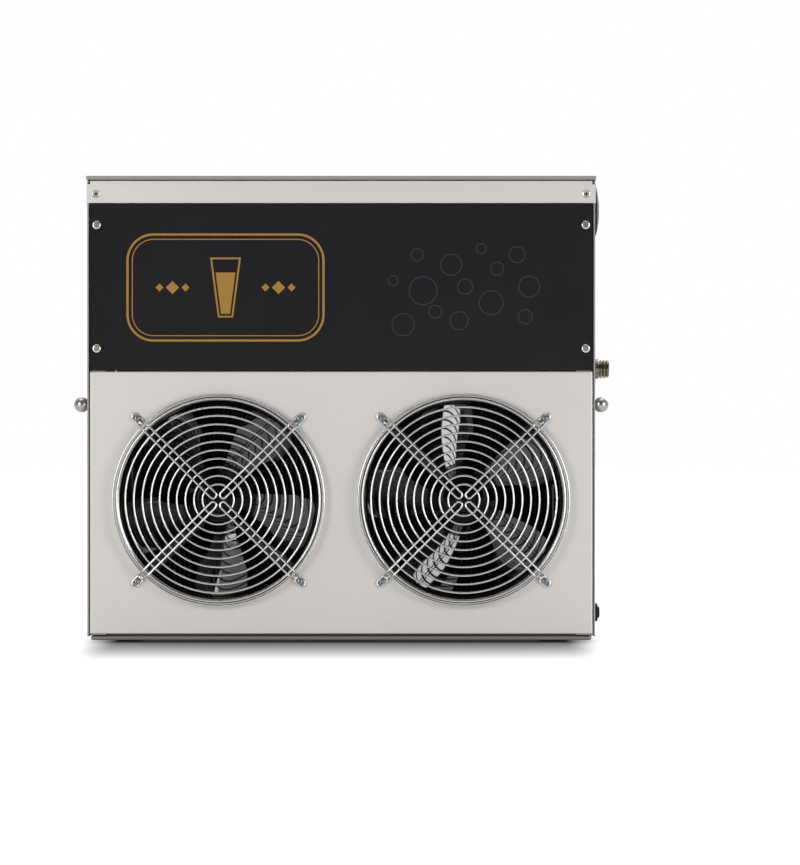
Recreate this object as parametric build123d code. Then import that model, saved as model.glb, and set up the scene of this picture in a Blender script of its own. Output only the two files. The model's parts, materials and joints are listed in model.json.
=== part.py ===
# Draft beer dispenser: a countertop cooler in a sheet steel cabinet.
# Two fans look out of the front, which faces the guests. Two taps, a drip tray
# and the power switch are on the back, where the beer is poured.
# Millimetres. Z is up, -Y is the fan side, +X is the side with the beer inlets.
# The origin is on the surface that the feet stand on, under the middle of the whole
# object, with the wire guards in front and the drip tray behind counted in.
from build123d import *
from math import cos, radians, sin, sqrt
import os

# Cabinet
width = 508.0
depth = 380.0
height = 467.0
side_sheet = 1.5
panel_sheet = 1.2
seat_gap = 0.3
reveal = 1.0
screw_column = 244.5

# Base pan and feet
foot_height = 2.5
foot_radius = 14.0
foot_inset = 40.0
foot_stem_radius = 4.0
foot_stem_rise = 3.0
pan_rim = 3.7
pan_inset = 3.5
pan_sheet = 1.5
pan_bend = 3.0
pan_floor_bend = 2.4
sill_setback = 4.0
sill_foot = 10.0
flange = 14.0
flange_gap = 2.0
corner_leg = 15.0

# Fan panel
panel_lift = 2.5
fan_panel_height = 262.5
panel_bend = 1.4
side_flange = 20.0
short_flange = 12.0
joint_gap = 0.8
fascia_sheet = 2.0
fascia_screw_low_inset = 22.2
fascia_screw_high_inset = 21.8

# Collar and lid
lid_rim = 4.0
lid_gap = 1.2
lid_overhang = 1.0
lid_round = 1.0
collar_height = 22.0
collar_proud = 0.6
collar_notch = 3.4
collar_screw_column = 245.2
collar_screw_drop = 13.0

# Screws
pan_head_radius = 4.45
pan_head_height = 2.6
pan_shank_radius = 1.9
csk_head_radius = 4.0
csk_head_depth = 2.0
screw_length = 9.0
hole_clearance = 0.2
recess_width = 1.1
recess_depth = 1.3
head_round_share = 0.6
pan_recess_share = 0.55
csk_recess_share = 0.6
drill_in = 12.0
drill_out = 5.0

# Fans
fan_spacing = 245.0
fan_height = 142.8
fan_hole_radius = 103.5
duct_radius = 98.0
duct_depth = 40.0
duct_sheet = 1.0
duct_flange_radius = 109.0
duct_rear_flange = 5.0
lip_steps = 8
guard_screw_radius = 115.0
guard_ear_radius = 6.0
ear_overlap = 3.0
blade_count = 5
blade_radius = 94.5
blade_root_radius = 20.0
blade_sheet = 1.2
blade_chord = 64.0
blade_root_half = 15.0
blade_tip_half = 30.0
blade_corner = 9.0
blade_pitch = 27.0
blade_camber_radius = 75.0
blade_root_overlap = 4.0
blade_belly_at = 0.62
blade_lead_share = 0.8
blade_trail_at = 0.5
blade_trail_share = 0.8
wheel_mid = 20.5
hub_radius = 24.0
hub_length = 16.0
hub_round = 4.0
hub_cap = 3.0
shaft_radius = 3.0
running_fit = 0.05
motor_radius = 32.0
motor_length = 40.0
motor_round = 6.0
motor_boss_radius = 10.0
arm_width = 12.0
arm_sheet = 2.0
arm_overlap = 4.0
left_fan_angle = 125.0
right_fan_angle = 100.0

# Wire guards
ring_wire = 1.0
rib_wire = 1.1
ring_first = 15.7
ring_pitch = 8.55
ring_count = 11
base_ring_radius = 105.5
guard_raise = 13.0
rib_half_pitch = 3.35
rib_inner_radius = 7.15
rib_bend_radius = 100.5
rib_foot_radius = 108.5
rib_end_radius = 117.6
rib_corner = 3.0
weld_depth = 0.4
guard_screw_head = 3.25
guard_screw_shank = 1.6
washer_radius = 4.9
washer_sheet = 0.7

# Side fittings
knob_radius = 7.6
knob_centre_out = 6.2
knob_height = 238.0
knob_setback = 10.0
knob_screw_radius = 3.0
knob_screw_tail = 4.0
inlet_above_shelf = 18.7
inlet_first = 45.0
inlet_pitch = 55.0
inlet_flange_radius = 10.45
inlet_flange = 4.8
inlet_thread_radius = 9.05
inlet_thread_length = 11.2
inlet_thread_pitch = 3.4
inlet_thread_depth = 1.3
thread_lead_in = 0.5
thread_shares = (0.15, 0.45, 0.75)
inlet_bore = 4.0
inlet_body_radius = 8.0
inlet_nut_radius = 12.0
inlet_nut = 4.0
inlet_tail_radius = 5.5
inlet_tail_length = 18.0
inlet_inside = 22.0
gland_height = 29.0
gland_setback = 34.0
gland_flange_radius = 9.35
gland_flange = 4.0
gland_boss_radius = 6.0
gland_proud = 5.9
gland_bore = 3.6
gland_body_radius = 6.5
gland_inside = 9.0
gland_round = 1.0
gland_nut_radius = 10.35
gland_nut_height = 4.0
dial_radius = 25.0
dial_drop = 5.8
dial_setback = 44.0
dial_proud = 6.0
dial_edge = 1.2
dial_stand_off = 1.0
groove_width = 2.4
groove_start = 0.45
groove_end = 0.85
groove_depth = 1.6
spindle_radius = 3.0
bush_wall = 2.0
thermostat_size = 30.0
thermostat_depth = 24.0

# Cooling set
shelf_over_ducts = 9.2
shelf_flange = 15.0
condenser_width = 430.0
condenser_depth = 40.0
condenser_head_gap = 18.0
condenser_setback = 105.0
condenser_floor_gap = 8.0
fin_pitch = 5.0
fin_sheet = 1.2
condenser_web = 4.0
end_plate = 1.5
tube_rows = 6
tube_run = 4.0
tube_bend = 12.0
compressor_x = 60.0
compressor_setback = 295.0
compressor_radius = 72.0
compressor_height = 172.0
compressor_round = 30.0
compressor_wall = 3.5
works_height = 100.0
grommet_radius = 9.0
grommet_height = 10.0
compressor_foot_x = 76.0
compressor_foot_y = 52.0
foot_plate = 2.0
foot_margin = 12.0
foot_corner = 10.0
terminal_size = 46.0
terminal_depth = 24.0
terminal_overlap = 12.0
terminal_round = 3.0
pipe_radius = 4.0
pipe_offset = 25.0
pipe_wall = 1.0
pipe_clearance = 1.0
pipe_rise = 32.0
pipe_fall = 20.0
pipe_bend = 14.0
drier_radius = 12.0
drier_length = 100.0
drier_inset = 60.0
drier_gap = 6.0
drier_drop = 30.0
drier_round = 6.0
capillary_radius = 2.5

# Cold box
box_width = 390.0
box_setback = 40.0
box_depth = 282.0
box_head_gap = 6.6
box_wall = 30.0
box_lid = 25.0
block_width = 260.0
block_setback = 100.0
block_depth = 162.0
block_share = 5 / 11
block_chamfer = 3.0
line_radius = 4.75
line_bend = 6.0
line_entry_inset = 30.0
line_entry_share = 0.715
line_entry_step = 25.0

# Taps
tap_spacing = 160.0
tap_share = 17 / 32
tap_panel_bottom = 232.0
shank_radius = 7.5
shank_flange_radius = 16.0
shank_flange = 4.0
shank_inside = 38.0
shank_nut_radius = 14.0
shank_nut = 6.0
coupling_radius = 17.0
coupling_length = 13.0
barrel_radius = 13.0
barrel_length = 44.0
spout_radius = 8.5
spout_bore = 5.0
spout_drop = 82.0
spout_inset = 13.0
spout_taper = 2.0
spout_bore_top = 10.0
barrel_round = 5.0
lever_pivot_up = 22.0
lever_pivot_in = 14.0
cheek_sheet = 3.0
bonnet_radius = 11.0
bonnet_height = 14.0
fork_half = 5.0
fork_floor_gap = 1.0
fork_cut = 12.0
lever_hub_radius = 6.0
lever_hub_width = 9.4
lever_pin_radius = 2.5
lever_stem_radius = 3.6
lever_stem_length = 32.0
handle_length = 74.0
handle_low_radius = 8.0
handle_high_radius = 13.0
handle_overlap = 12.0
handle_edge = 2.0
handle_waist = 0.5
handle_waist_at = 0.3
handle_swell = 1.0
handle_swell_at = 0.8
handle_shoulder = 8.0
handle_crown = 3.0
flow_pin_radius = 2.5
flow_hub_radius = 6.5
flow_hub_width = 4.0
flow_arm_length = 28.0
flow_arm_width = 6.0
flow_arm_gap = 0.5
flow_inset = 17.0

# Drip tray
tray_width = 300.0
tray_reach = 136.0
tray_bottom = 12.0
tray_height = 22.3
tray_sheet = 1.2
tray_corner = 6.0
tray_floor_round = 3.0
hem_inset = 2.0
hem_overlap = 4.0
hem_drop = 8.0
hook_width = 116.0
hook_sheet = 1.5
hook_lip = 14.0
hook_reach = 6.0
hook_plate_height = 40.0
hook_lift = 8.0
grid_sheet = 1.5
grid_drop = 2.3
grid_edge_gap = 0.8
grid_leg_radius = 4.0
grid_leg_inset = 7.0
grid_corner = 4.5
grid_margin = 12.0
grid_mid_bar = 8.0
slot_width = 5.0
slot_pitch = 12.0
slot_round_share = 0.45

# Back panels
back_screw_inset = 16.0
vent_inset = 61.5
vent_length = 84.0
vent_column_pitch = 104.0
vent_columns = 3
vent_margin = 30.0

# Switch
switch_x = 190.0
switch_height = 180.0
bezel_width = 22.0
bezel_height = 31.0
bezel_proud = 2.2
bezel_wall = 1.0
bezel_round = 1.0
bezel_back = 3.0
rocker_width = 15.0
rocker_height = 23.0
rocker_depth = 9.0
rocker_pin_radius = 1.5
rocker_pin_drop = 2.0
rocker_end_gap = 0.8
rocker_back = 5.0
rocker_proud = 2.2
rocker_round = 1.0
rocker_dish_radius = 34.0
rocker_dish_floor = 0.2

# Places worked out from the sizes above
half_width = width / 2
proud_front = guard_raise + rib_wire
proud_back = hook_reach + seat_gap + tray_reach
front = proud_front - (proud_front + depth + proud_back) / 2
back = front + depth
side_inner = half_width - side_sheet
pan_top = foot_height + pan_rim
pan_floor = foot_height + pan_sheet
collar_top = height - lid_rim - lid_gap
collar_bottom = collar_top - collar_height
panel_half = side_inner - reveal
panel_bottom = pan_top + panel_lift
fan_panel_top = panel_bottom + fan_panel_height
fascia_bottom = fan_panel_top + joint_gap
fascia_top = collar_bottom - seat_gap
fascia_screw_low = fascia_bottom + fascia_screw_low_inset
fascia_screw_high = fascia_top - fascia_screw_high_inset
dial_height = collar_bottom - dial_drop
post_outer = panel_half - panel_sheet - seat_gap
post_front = front + fascia_sheet
post_back = back - panel_sheet
post_bottom = pan_top + side_sheet
post_top = collar_bottom - side_sheet - seat_gap
shelf_half = post_outer - side_sheet - seat_gap
duct_top = fan_height + duct_radius + duct_sheet + duct_rear_flange
shelf_height = duct_top + shelf_over_ducts
shelf_top = shelf_height + panel_sheet
condenser_low = pan_floor + condenser_floor_gap
condenser_height = shelf_height - condenser_head_gap - condenser_low
inlet_height = shelf_height + inlet_above_shelf
inner_reach = post_outer - corner_leg - seat_gap
collar_half = half_width + collar_proud
compressor_y = front + compressor_setback
box_front = front + box_setback
box_back = box_front + box_depth
box_height = collar_bottom - box_head_gap - shelf_top
block_front = front + block_setback
block_back = block_front + block_depth
block_low = shelf_top + box_wall + seat_gap
block_height = box_height * block_share
tap_height = block_low + block_height * tap_share
parts_folder = "parts"


def slab(x, y, z):
    size = (x[1] - x[0], y[1] - y[0], z[1] - z[0])
    middle = ((x[0] + x[1]) / 2, (y[0] + y[1]) / 2, (z[0] + z[1]) / 2)
    return Pos(*middle) * Box(*size)


def rod(radius, low, high):
    return Pos(0, 0, (low + high) / 2) * Cylinder(radius, high - low)


def drill(radius):
    # Cuts through a sheet whose outer face is at the local Z of 0.
    return rod(radius, -drill_in, drill_out)


def turned(points):
    # Closed outline of (radius, height) pairs, spun about the local Z axis.
    outline = Polyline(*[(r, 0, z) for r, z in points], close=True)
    return revolve(make_face(outline), Axis.Z, 360)


def tube_along(points, radius, bend):
    path = FilletPolyline(*points, radius=bend)
    section = (path ^ 0) * Circle(radius)
    return sweep(section, path)


def mirrored(shape):
    return shape.mirror(Plane.YZ)


def gather(solids):
    return Compound(children=list(solids))


def facing_front(x, z, y=front):
    # Local +Z points out of the fan side.
    return Pos(x, y, z) * Rot(90, 0, 0)


def facing_back(x, z, y=back):
    # Local +Z points out of the tap side.
    return Pos(x, y, z) * Rot(-90, 0, 0)


def facing_right(y, z, x=half_width):
    # Local +Z points out of the right side.
    return Pos(x, y, z) * Rot(0, 90, 0)


def cross_recess(top, reach):
    floor = top - recess_depth
    one = slab((-reach, reach), (-recess_width / 2, recess_width / 2), (floor, top + 1))
    other = slab((-recess_width / 2, recess_width / 2), (-reach, reach), (floor, top + 1))
    return one + other


def pan_screw(head=pan_head_radius, head_height=pan_head_height, shank=pan_shank_radius):
    top = rod(head, 0, head_height)
    top = fillet(top.edges().sort_by(Axis.Z)[-1], head_height * head_round_share)
    screw = top + rod(shank, -screw_length, 0)
    return screw - cross_recess(head_height, head * pan_recess_share)


def csk_cone(extra=0.0):
    depth_all = csk_head_depth + extra
    points = [(0, 0), (csk_head_radius + extra, 0), (pan_shank_radius, -depth_all), (0, -depth_all)]
    return turned(points)


def csk_screw():
    screw = csk_cone() + rod(pan_shank_radius, -screw_length, -csk_head_depth)
    return screw - cross_recess(0, csk_head_radius * csk_recess_share)


def rubber_feet():
    feet = []
    for sx in (-1, 1):
        for y in (front + foot_inset, back - foot_inset):
            foot = rod(foot_radius, 0, foot_height)
            foot = foot + rod(foot_stem_radius, foot_height, pan_floor + foot_stem_rise)
            feet.append(Pos(sx * (half_width - foot_inset), y, 0) * foot)
    return gather(feet)


def base_pan():
    half = half_width - pan_inset
    outer = slab((-half, half), (front, back), (foot_height, pan_top))
    outer = fillet(outer.edges().filter_by(Axis.Z), pan_bend)
    outer = fillet(outer.faces().sort_by(Axis.Z)[0].edges(), pan_floor_bend)
    wall = pan_sheet
    inner = slab((-half + wall, half - wall), (front + wall, back - wall), (pan_floor, pan_top + 1))
    pan = outer - inner
    for sx in (-1, 1):
        for y in (front + foot_inset, back - foot_inset):
            hole = rod(foot_stem_radius + hole_clearance, foot_height - 1, pan_floor + 1)
            pan = pan - Pos(sx * (half_width - foot_inset), y, 0) * hole
    return pan


def side_panel():
    # The right-hand panel: a flat sheet with a flange turned in at the top and the bottom.
    x = (side_inner, half_width)
    sheet = slab(x, (front, back), (pan_top, collar_bottom))
    turned_in = (side_inner - flange, half_width)
    low = slab(turned_in, (front + side_flange + flange_gap, post_back), (pan_top, pan_top + side_sheet))
    high = slab(turned_in, (post_front, post_back), (collar_bottom - side_sheet, collar_bottom))
    return sheet + low + high


def knob_hole(radius):
    place = Pos(0, front + knob_setback, knob_height) * Rot(0, 90, 0)
    return place * Cylinder(radius, 2 * width)


def side_panel_left():
    return mirrored(side_panel()) - knob_hole(knob_screw_radius + seat_gap)


def side_panel_right():
    panel = side_panel() - knob_hole(knob_screw_radius + seat_gap)
    for y in inlet_spots():
        panel = panel - facing_right(y, inlet_height) * drill(inlet_body_radius + hole_clearance)
    gland_hole = drill(gland_body_radius + hole_clearance)
    panel = panel - facing_right(front + gland_setback, gland_height) * gland_hole
    bush = drill(spindle_radius + bush_wall + hole_clearance)
    return panel - facing_right(front + dial_setback, dial_height) * bush


def corner_posts():
    posts = []
    for sx in (-1, 1):
        for near, inward in ((post_front, 1), (post_back, -1)):
            x = sorted((sx * post_outer, sx * (post_outer - corner_leg)))
            x_side = sorted((sx * post_outer, sx * (post_outer - side_sheet)))
            y = sorted((near, near + inward * side_sheet))
            y_side = sorted((near, near + inward * corner_leg))
            z = (post_bottom, post_top)
            posts.append(slab(x, y, z) + slab(x_side, y_side, z))
    drilled = []
    cutters = [facing_front(x, z) * drill(pan_shank_radius + hole_clearance)
               for x, z in fascia_screw_spots()]
    cutters += [facing_back(x, z) * drill(pan_shank_radius + hole_clearance)
                for x, z in back_screw_spots()]
    cutters.append(knob_hole(knob_screw_radius + running_fit))
    for post in posts:
        for cutter in cutters:
            post = post - cutter
        drilled.append(post)
    return gather(drilled)


def front_sill():
    # The strip on the pan that the lower edge of the fan panel rests on.
    y0 = front + sill_setback
    upright = slab((-inner_reach, inner_reach), (y0, y0 + pan_sheet), (pan_floor, panel_bottom - seat_gap))
    foot = slab((-inner_reach, inner_reach), (y0, y0 + sill_foot), (pan_floor, pan_floor + pan_sheet))
    return upright + foot


def fan_centres():
    return ((-fan_spacing / 2, fan_height), (fan_spacing / 2, fan_height))


def guard_screw_spots():
    spots = []
    for x, z in fan_centres():
        for turn in (45, 135, 225, 315):
            a = radians(turn)
            spots.append((x + guard_screw_radius * cos(a), z + guard_screw_radius * sin(a)))
    return spots


def fan_panel():
    z = (panel_bottom, fan_panel_top)
    outer = slab((-panel_half, panel_half), (front, front + side_flange), z)
    outer = fillet(outer.faces().sort_by(Axis.Y)[0].edges(), panel_bend)
    t = panel_sheet
    x = (t - panel_half, panel_half - t)
    inner = slab(x, (front + t, front + side_flange + 1), (z[0] + t, z[1] - t))
    panel = outer - inner
    # The top and bottom flanges are shorter and stay clear of the corner posts.
    for low, high in ((z[0] - 1, z[0] + t), (z[1] - t, z[1] + 1)):
        panel = panel - slab((-panel_half - 1, panel_half + 1), (front + short_flange, back), (low, high))
        for x in ((-panel_half - 1, -inner_reach), (inner_reach, panel_half + 1)):
            panel = panel - slab(x, (post_front - seat_gap, back), (low, high))
    for x, zc in fan_centres():
        panel = panel - facing_front(x, zc) * drill(fan_hole_radius)
    for x, zc in guard_screw_spots():
        panel = panel - facing_front(x, zc) * drill(guard_screw_shank + hole_clearance)
    return panel - knob_hole(knob_screw_radius + seat_gap)


def fascia_screw_spots():
    return [(sx * screw_column, z) for sx in (-1, 1) for z in (fascia_screw_low, fascia_screw_high)]


def fascia():
    plate = slab((-panel_half, panel_half), (front, post_front), (fascia_bottom, fascia_top))
    for x, z in fascia_screw_spots():
        plate = plate - facing_front(x, z) * drill(pan_shank_radius + hole_clearance)
    return plate


def fascia_screws():
    return gather([facing_front(x, z) * pan_screw() for x, z in fascia_screw_spots()])


def collar_screw_places():
    z = collar_top - collar_screw_drop
    places = []
    for sx in (-1, 1):
        places.append(facing_front(sx * collar_screw_column, z))
        places.append(facing_back(sx * collar_screw_column, z))
    return places


def top_collar():
    t = panel_sheet
    outer = slab((-collar_half, collar_half), (front, back), (collar_bottom, collar_top))
    x = (t - collar_half, collar_half - t)
    inner = slab(x, (front + t, back - t), (collar_bottom + t, collar_top + 1))
    hole = slab((-side_inner + flange, side_inner - flange), (front + flange, back - flange),
                (collar_bottom - 1, collar_bottom + t + 1))
    ring = outer - inner - hole
    # The bends at the four corners are relieved at the top.
    n = collar_notch
    for x in ((-collar_half - 1, -collar_half + n), (collar_half - n, collar_half + 1)):
        for y in ((front - 1, front + n), (back - n, back + 1)):
            ring = ring - slab(x, y, (collar_top - n, collar_top + 1))
    for place in collar_screw_places():
        ring = ring - place * csk_cone(hole_clearance) - place * drill(pan_shank_radius + hole_clearance)
    return ring


def top_lid():
    t = panel_sheet
    half = half_width + lid_overhang
    outer = slab((-half, half), (front - lid_overhang, back + lid_overhang), (height - lid_rim, height))
    outer = fillet(outer.faces().sort_by(Axis.Z)[-1].edges(), lid_round)
    inner = slab((-half + t, half - t), (front - lid_overhang + t, back + lid_overhang - t),
                 (height - lid_rim - 1, height - t))
    lid = outer - inner
    x = collar_half - t - seat_gap
    y = back - t - seat_gap
    low = collar_bottom + t + seat_gap
    skirt = slab((-x, x), (-y, y), (low, height - t))
    skirt = skirt - slab((-x + t, x - t), (-y + t, y - t), (low - 1, height))
    for place in collar_screw_places():
        skirt = skirt - place * csk_cone(hole_clearance) - place * drill(pan_shank_radius + hole_clearance)
    return lid + skirt


def collar_screws():
    return gather([place * csk_screw() for place in collar_screw_places()])


def divider_shelf():
    t = panel_sheet
    y = (post_front + side_sheet + seat_gap, post_back - side_sheet - seat_gap)
    shelf = slab((-shelf_half, shelf_half), y, (shelf_height, shelf_top))
    for sx in (-1, 1):
        x = sorted((sx * shelf_half, sx * (shelf_half - t)))
        y = (box_front, back - side_flange)
        shelf = shelf + slab(x, y, (shelf_height - shelf_flange, shelf_top))
    x, y, z = suction_points()[1]
    return shelf - Pos(x, y, z) * drill(pipe_radius + pipe_clearance)


def duct_ring():
    # The bell-mouth: a flange behind the panel, a rounded lip, a short duct and a rear flange.
    t = duct_sheet
    face = -panel_sheet
    lip = fan_hole_radius - duct_radius - t
    rear = -duct_depth
    section = [
        (duct_flange_radius, face),
        (duct_flange_radius, face - t),
        (duct_radius + lip + t, face - t),
    ]
    for step in range(1, lip_steps + 1):
        a = radians(90 * step / lip_steps)
        section.append((duct_radius + t + lip - lip * sin(a), face - t - lip * (1 - cos(a))))
    section += [
        (duct_radius + t, rear + t),
        (duct_radius + t + duct_rear_flange, rear + t),
        (duct_radius + t + duct_rear_flange, rear),
        (duct_radius, rear),
    ]
    for step in range(lip_steps, -1, -1):
        a = radians(90 * step / lip_steps)
        reach = lip + t
        section.append((duct_radius + reach - reach * sin(a), face - reach * (1 - cos(a))))
    ring = turned(section)
    for turn in (45, 135, 225, 315):
        ear = Pos(guard_screw_radius, 0, 0) * rod(guard_ear_radius, face - t, face)
        x = (duct_flange_radius - ear_overlap, guard_screw_radius)
        bridge = slab(x, (-guard_ear_radius, guard_ear_radius), (face - t, face))
        hole = Pos(guard_screw_radius, 0, 0) * drill(guard_screw_shank + hole_clearance)
        ring = ring + Rot(0, 0, turn) * (ear + bridge) - Rot(0, 0, turn) * hole
    return ring


def guard_rib():
    # One hairpin of wire along local +X, bent down at its outer end to an eye round the screw.
    high = guard_raise
    low = rib_wire
    w = rib_half_pitch
    rib = Part()
    for y in (-w, w):
        path = FilletPolyline((rib_inner_radius, y, high), (rib_bend_radius, y, high),
                              (rib_foot_radius, y, low), (rib_end_radius, y, low), radius=rib_corner)
        rib = rib + sweep((path ^ 0) * Circle(rib_wire), path)
    inner_arc = CenterArc((rib_inner_radius, 0, high), w, 90, 180)
    outer_arc = CenterArc((rib_end_radius, 0, low), w, -90, 180)
    for arc in (inner_arc, outer_arc):
        rib = rib + sweep((arc ^ 0) * Circle(rib_wire), arc)
    return rib


def guard_slope_height(radius):
    share = (radius - rib_bend_radius) / (rib_foot_radius - rib_bend_radius)
    return guard_raise + (rib_wire - guard_raise) * share


def wire_guard():
    # Rings lie behind the ribs and are welded to them.
    ring_plane = guard_raise - ring_wire - rib_wire + weld_depth
    guard = guard_rib()
    for turn in (90, 180, 270):
        guard = guard + Rot(0, 0, turn) * guard_rib()
    guard = Rot(0, 0, 45) * guard
    rings = [Pos(0, 0, ring_plane) * Torus(ring_first + i * ring_pitch, ring_wire) for i in range(ring_count)]
    base_height = guard_slope_height(base_ring_radius) - ring_wire
    rings.append(Pos(0, 0, base_height) * Torus(base_ring_radius, ring_wire))
    return guard.fuse(*rings)


def guard_screws():
    seat = 2 * rib_wire
    washer = rod(washer_radius, seat, seat + washer_sheet)
    screw = pan_screw(guard_screw_head, pan_head_height, guard_screw_shank)
    piece = washer + Pos(0, 0, seat + washer_sheet) * screw
    return gather([facing_front(x, z) * piece for x, z in guard_screw_spots()])


def fan_blade():
    # Local Z is the fan axis and the blade reaches along +X.
    mid = Pos(0, 0, -wheel_mid)
    outer = blade_camber_radius + blade_sheet / 2
    inner = blade_camber_radius - blade_sheet / 2
    band = Circle(outer) - Circle(inner)
    window = Pos(0, blade_camber_radius) * Rectangle(blade_chord, blade_camber_radius)
    rise = blade_camber_radius - sqrt(blade_camber_radius ** 2 - (blade_chord / 2) ** 2)
    section = Pos(0, rise / 2 - blade_camber_radius) * (band & window)
    # The section's own plane is square to the blade's reach.
    frame = Plane(origin=(blade_root_radius, 0, 0), x_dir=(0, 1, 0), z_dir=(1, 0, 0))
    plate = extrude(frame * Rot(0, 0, blade_pitch) * section, blade_radius - blade_root_radius + blade_corner)
    root = blade_root_radius - blade_root_overlap
    tip = blade_radius + blade_corner
    belly = (blade_radius * blade_belly_at, -blade_tip_half)
    lead = (tip, -blade_tip_half * blade_lead_share)
    trail = (blade_radius * blade_trail_at, blade_tip_half * blade_trail_share)
    corners = ((root, -blade_root_half), belly, lead, (tip, blade_tip_half), trail, (root, blade_root_half))
    outline = Polyline(*corners, close=True)
    planform = extrude(make_face(outline), blade_chord, both=True)
    planform = fillet(planform.edges().filter_by(Axis.Z), blade_corner)
    blade = plate & planform & rod(blade_radius, -blade_chord, blade_chord)
    return mid * blade


def fan_wheel():
    wheel = rod(hub_radius, -wheel_mid - hub_length / 2, -wheel_mid + hub_length / 2)
    wheel = fillet(wheel.edges().sort_by(Axis.Z)[-1], hub_round)
    for i in range(blade_count):
        wheel = wheel + Rot(0, 0, i * 360 / blade_count) * fan_blade()
    bore = rod(shaft_radius + running_fit, -wheel_mid - hub_length, -wheel_mid + hub_length / 2 - hub_cap)
    return wheel - bore


def fan_motor():
    face = -duct_depth - arm_sheet
    body = rod(motor_radius, face - motor_length, face)
    body = fillet(body.edges().sort_by(Axis.Z)[0], motor_round)
    boss = rod(motor_boss_radius, face, face + arm_sheet + drill_out)
    shaft = rod(shaft_radius, face, -wheel_mid + hub_length / 2 - hub_cap - seat_gap)
    return body + boss + shaft


def motor_bracket():
    face = -duct_depth
    reach = duct_radius + duct_sheet + arm_overlap
    arm = slab((-reach, reach), (-arm_width / 2, arm_width / 2), (face - arm_sheet, face))
    bracket = arm + Rot(0, 0, 90) * arm + rod(motor_radius, face - arm_sheet, face)
    bracket = Rot(0, 0, 45) * bracket
    return bracket - rod(motor_boss_radius + seat_gap, face - drill_in, face + drill_out)


def ball_knob():
    # Right-hand ball head screw; local Z points out of the cabinet.
    ball = Pos(0, 0, knob_centre_out) * Sphere(knob_radius)
    wide = 2 * knob_radius
    ball = ball - slab((-wide, wide), (-wide, wide), (-wide, seat_gap))
    tail = post_outer - side_sheet - knob_screw_tail - half_width
    return ball + rod(knob_screw_radius, tail, knob_centre_out)


def inlet_spots():
    return (front + inlet_first, front + inlet_first + inlet_pitch)


def inlet_fitting():
    # Local Z points out of the cabinet. The nut is a piece of its own.
    r = inlet_thread_radius
    end = inlet_flange + inlet_thread_length
    root = r - inlet_thread_depth
    points = [(inlet_bore, end), (root, end)]
    count = int((inlet_thread_length - 2 * thread_lead_in) / inlet_thread_pitch)
    rise, fall, foot = thread_shares
    for i in range(count):
        z = end - thread_lead_in - i * inlet_thread_pitch
        points += [(r, z - inlet_thread_pitch * rise), (r, z - inlet_thread_pitch * fall),
                   (root, z - inlet_thread_pitch * foot)]
    points += [
        (root, inlet_flange),
        (inlet_flange_radius, inlet_flange),
        (inlet_flange_radius, 0),
        (inlet_body_radius, 0),
        (inlet_body_radius, -inlet_inside),
        (inlet_tail_radius, -inlet_inside),
        (inlet_tail_radius, -inlet_inside - inlet_tail_length),
        (inlet_bore, -inlet_inside - inlet_tail_length),
    ]
    return turned(points)


def inlet_fittings():
    return gather([facing_right(y, inlet_height) * inlet_fitting() for y in inlet_spots()])


def inlet_nuts():
    face = -side_sheet
    nut = extrude(RegularPolygon(inlet_nut_radius, 6), inlet_nut)
    nut = Pos(0, 0, face - inlet_nut) * nut - drill(inlet_body_radius + running_fit)
    return gather([facing_right(y, inlet_height) * nut for y in inlet_spots()])


def cable_gland():
    body = turned([
        (gland_bore, gland_proud),
        (gland_boss_radius - gland_round, gland_proud),
        (gland_boss_radius, gland_proud - gland_round),
        (gland_boss_radius, gland_flange),
        (gland_flange_radius - gland_round, gland_flange),
        (gland_flange_radius, gland_flange - gland_round),
        (gland_flange_radius, 0),
        (gland_body_radius, 0),
        (gland_body_radius, -gland_inside),
        (gland_bore, -gland_inside),
    ])
    return facing_right(front + gland_setback, gland_height) * body


def gland_nut():
    face = -side_sheet
    nut = extrude(RegularPolygon(gland_nut_radius, 6), gland_nut_height)
    nut = Pos(0, 0, face - gland_nut_height) * nut - drill(gland_body_radius + running_fit)
    return facing_right(front + gland_setback, gland_height) * nut


def thermostat_dial():
    # A shallow dome with a finger groove; its hub goes over the spindle.
    low = collar_proud + dial_stand_off
    edge = low + dial_edge
    rise = dial_proud - edge
    ball_radius = (dial_radius ** 2 + rise ** 2) / (2 * rise)
    dome = Pos(0, 0, dial_proud - ball_radius) * Sphere(ball_radius)
    disc = rod(dial_radius, low, dial_proud) & (dome + rod(dial_radius, low, edge))
    floor = dial_proud - groove_depth
    reach = (dial_radius * groove_start, dial_radius * groove_end)
    groove = slab((-groove_width / 2, groove_width / 2), reach, (floor, dial_proud + groove_depth))
    bore = rod(spindle_radius + running_fit, 0, floor)
    dial = disc - groove - bore
    return facing_right(front + dial_setback, dial_height) * dial


def thermostat_body():
    # Inside the right side panel, below its top flange.
    top = collar_bottom - side_sheet - seat_gap
    y = front + dial_setback
    half = thermostat_size / 2
    z = (top - thermostat_size, top)
    body = slab((side_inner - thermostat_depth, side_inner), (y - half, y + half), z)
    bush = rod(spindle_radius + bush_wall, -side_sheet, 0)
    spindle = rod(spindle_radius, 0, dial_proud - groove_depth - seat_gap)
    return body + facing_right(y, dial_height) * (bush + spindle)


def condenser_core():
    # Vertical fins on a common web.
    x0 = -condenser_width / 2
    y0 = front + condenser_setback
    y1 = y0 + condenser_depth
    z = (condenser_low, condenser_low + condenser_height)
    middle = (y0 + y1) / 2
    web = slab((x0, -x0), (middle - condenser_web / 2, middle + condenser_web / 2), z)
    fins = []
    for i in range(int(condenser_width / fin_pitch)):
        x = x0 + fin_pitch / 2 + i * fin_pitch
        fins.append(slab((x - fin_sheet / 2, x + fin_sheet / 2), (y0, y1), z))
    return web.fuse(*fins)


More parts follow.
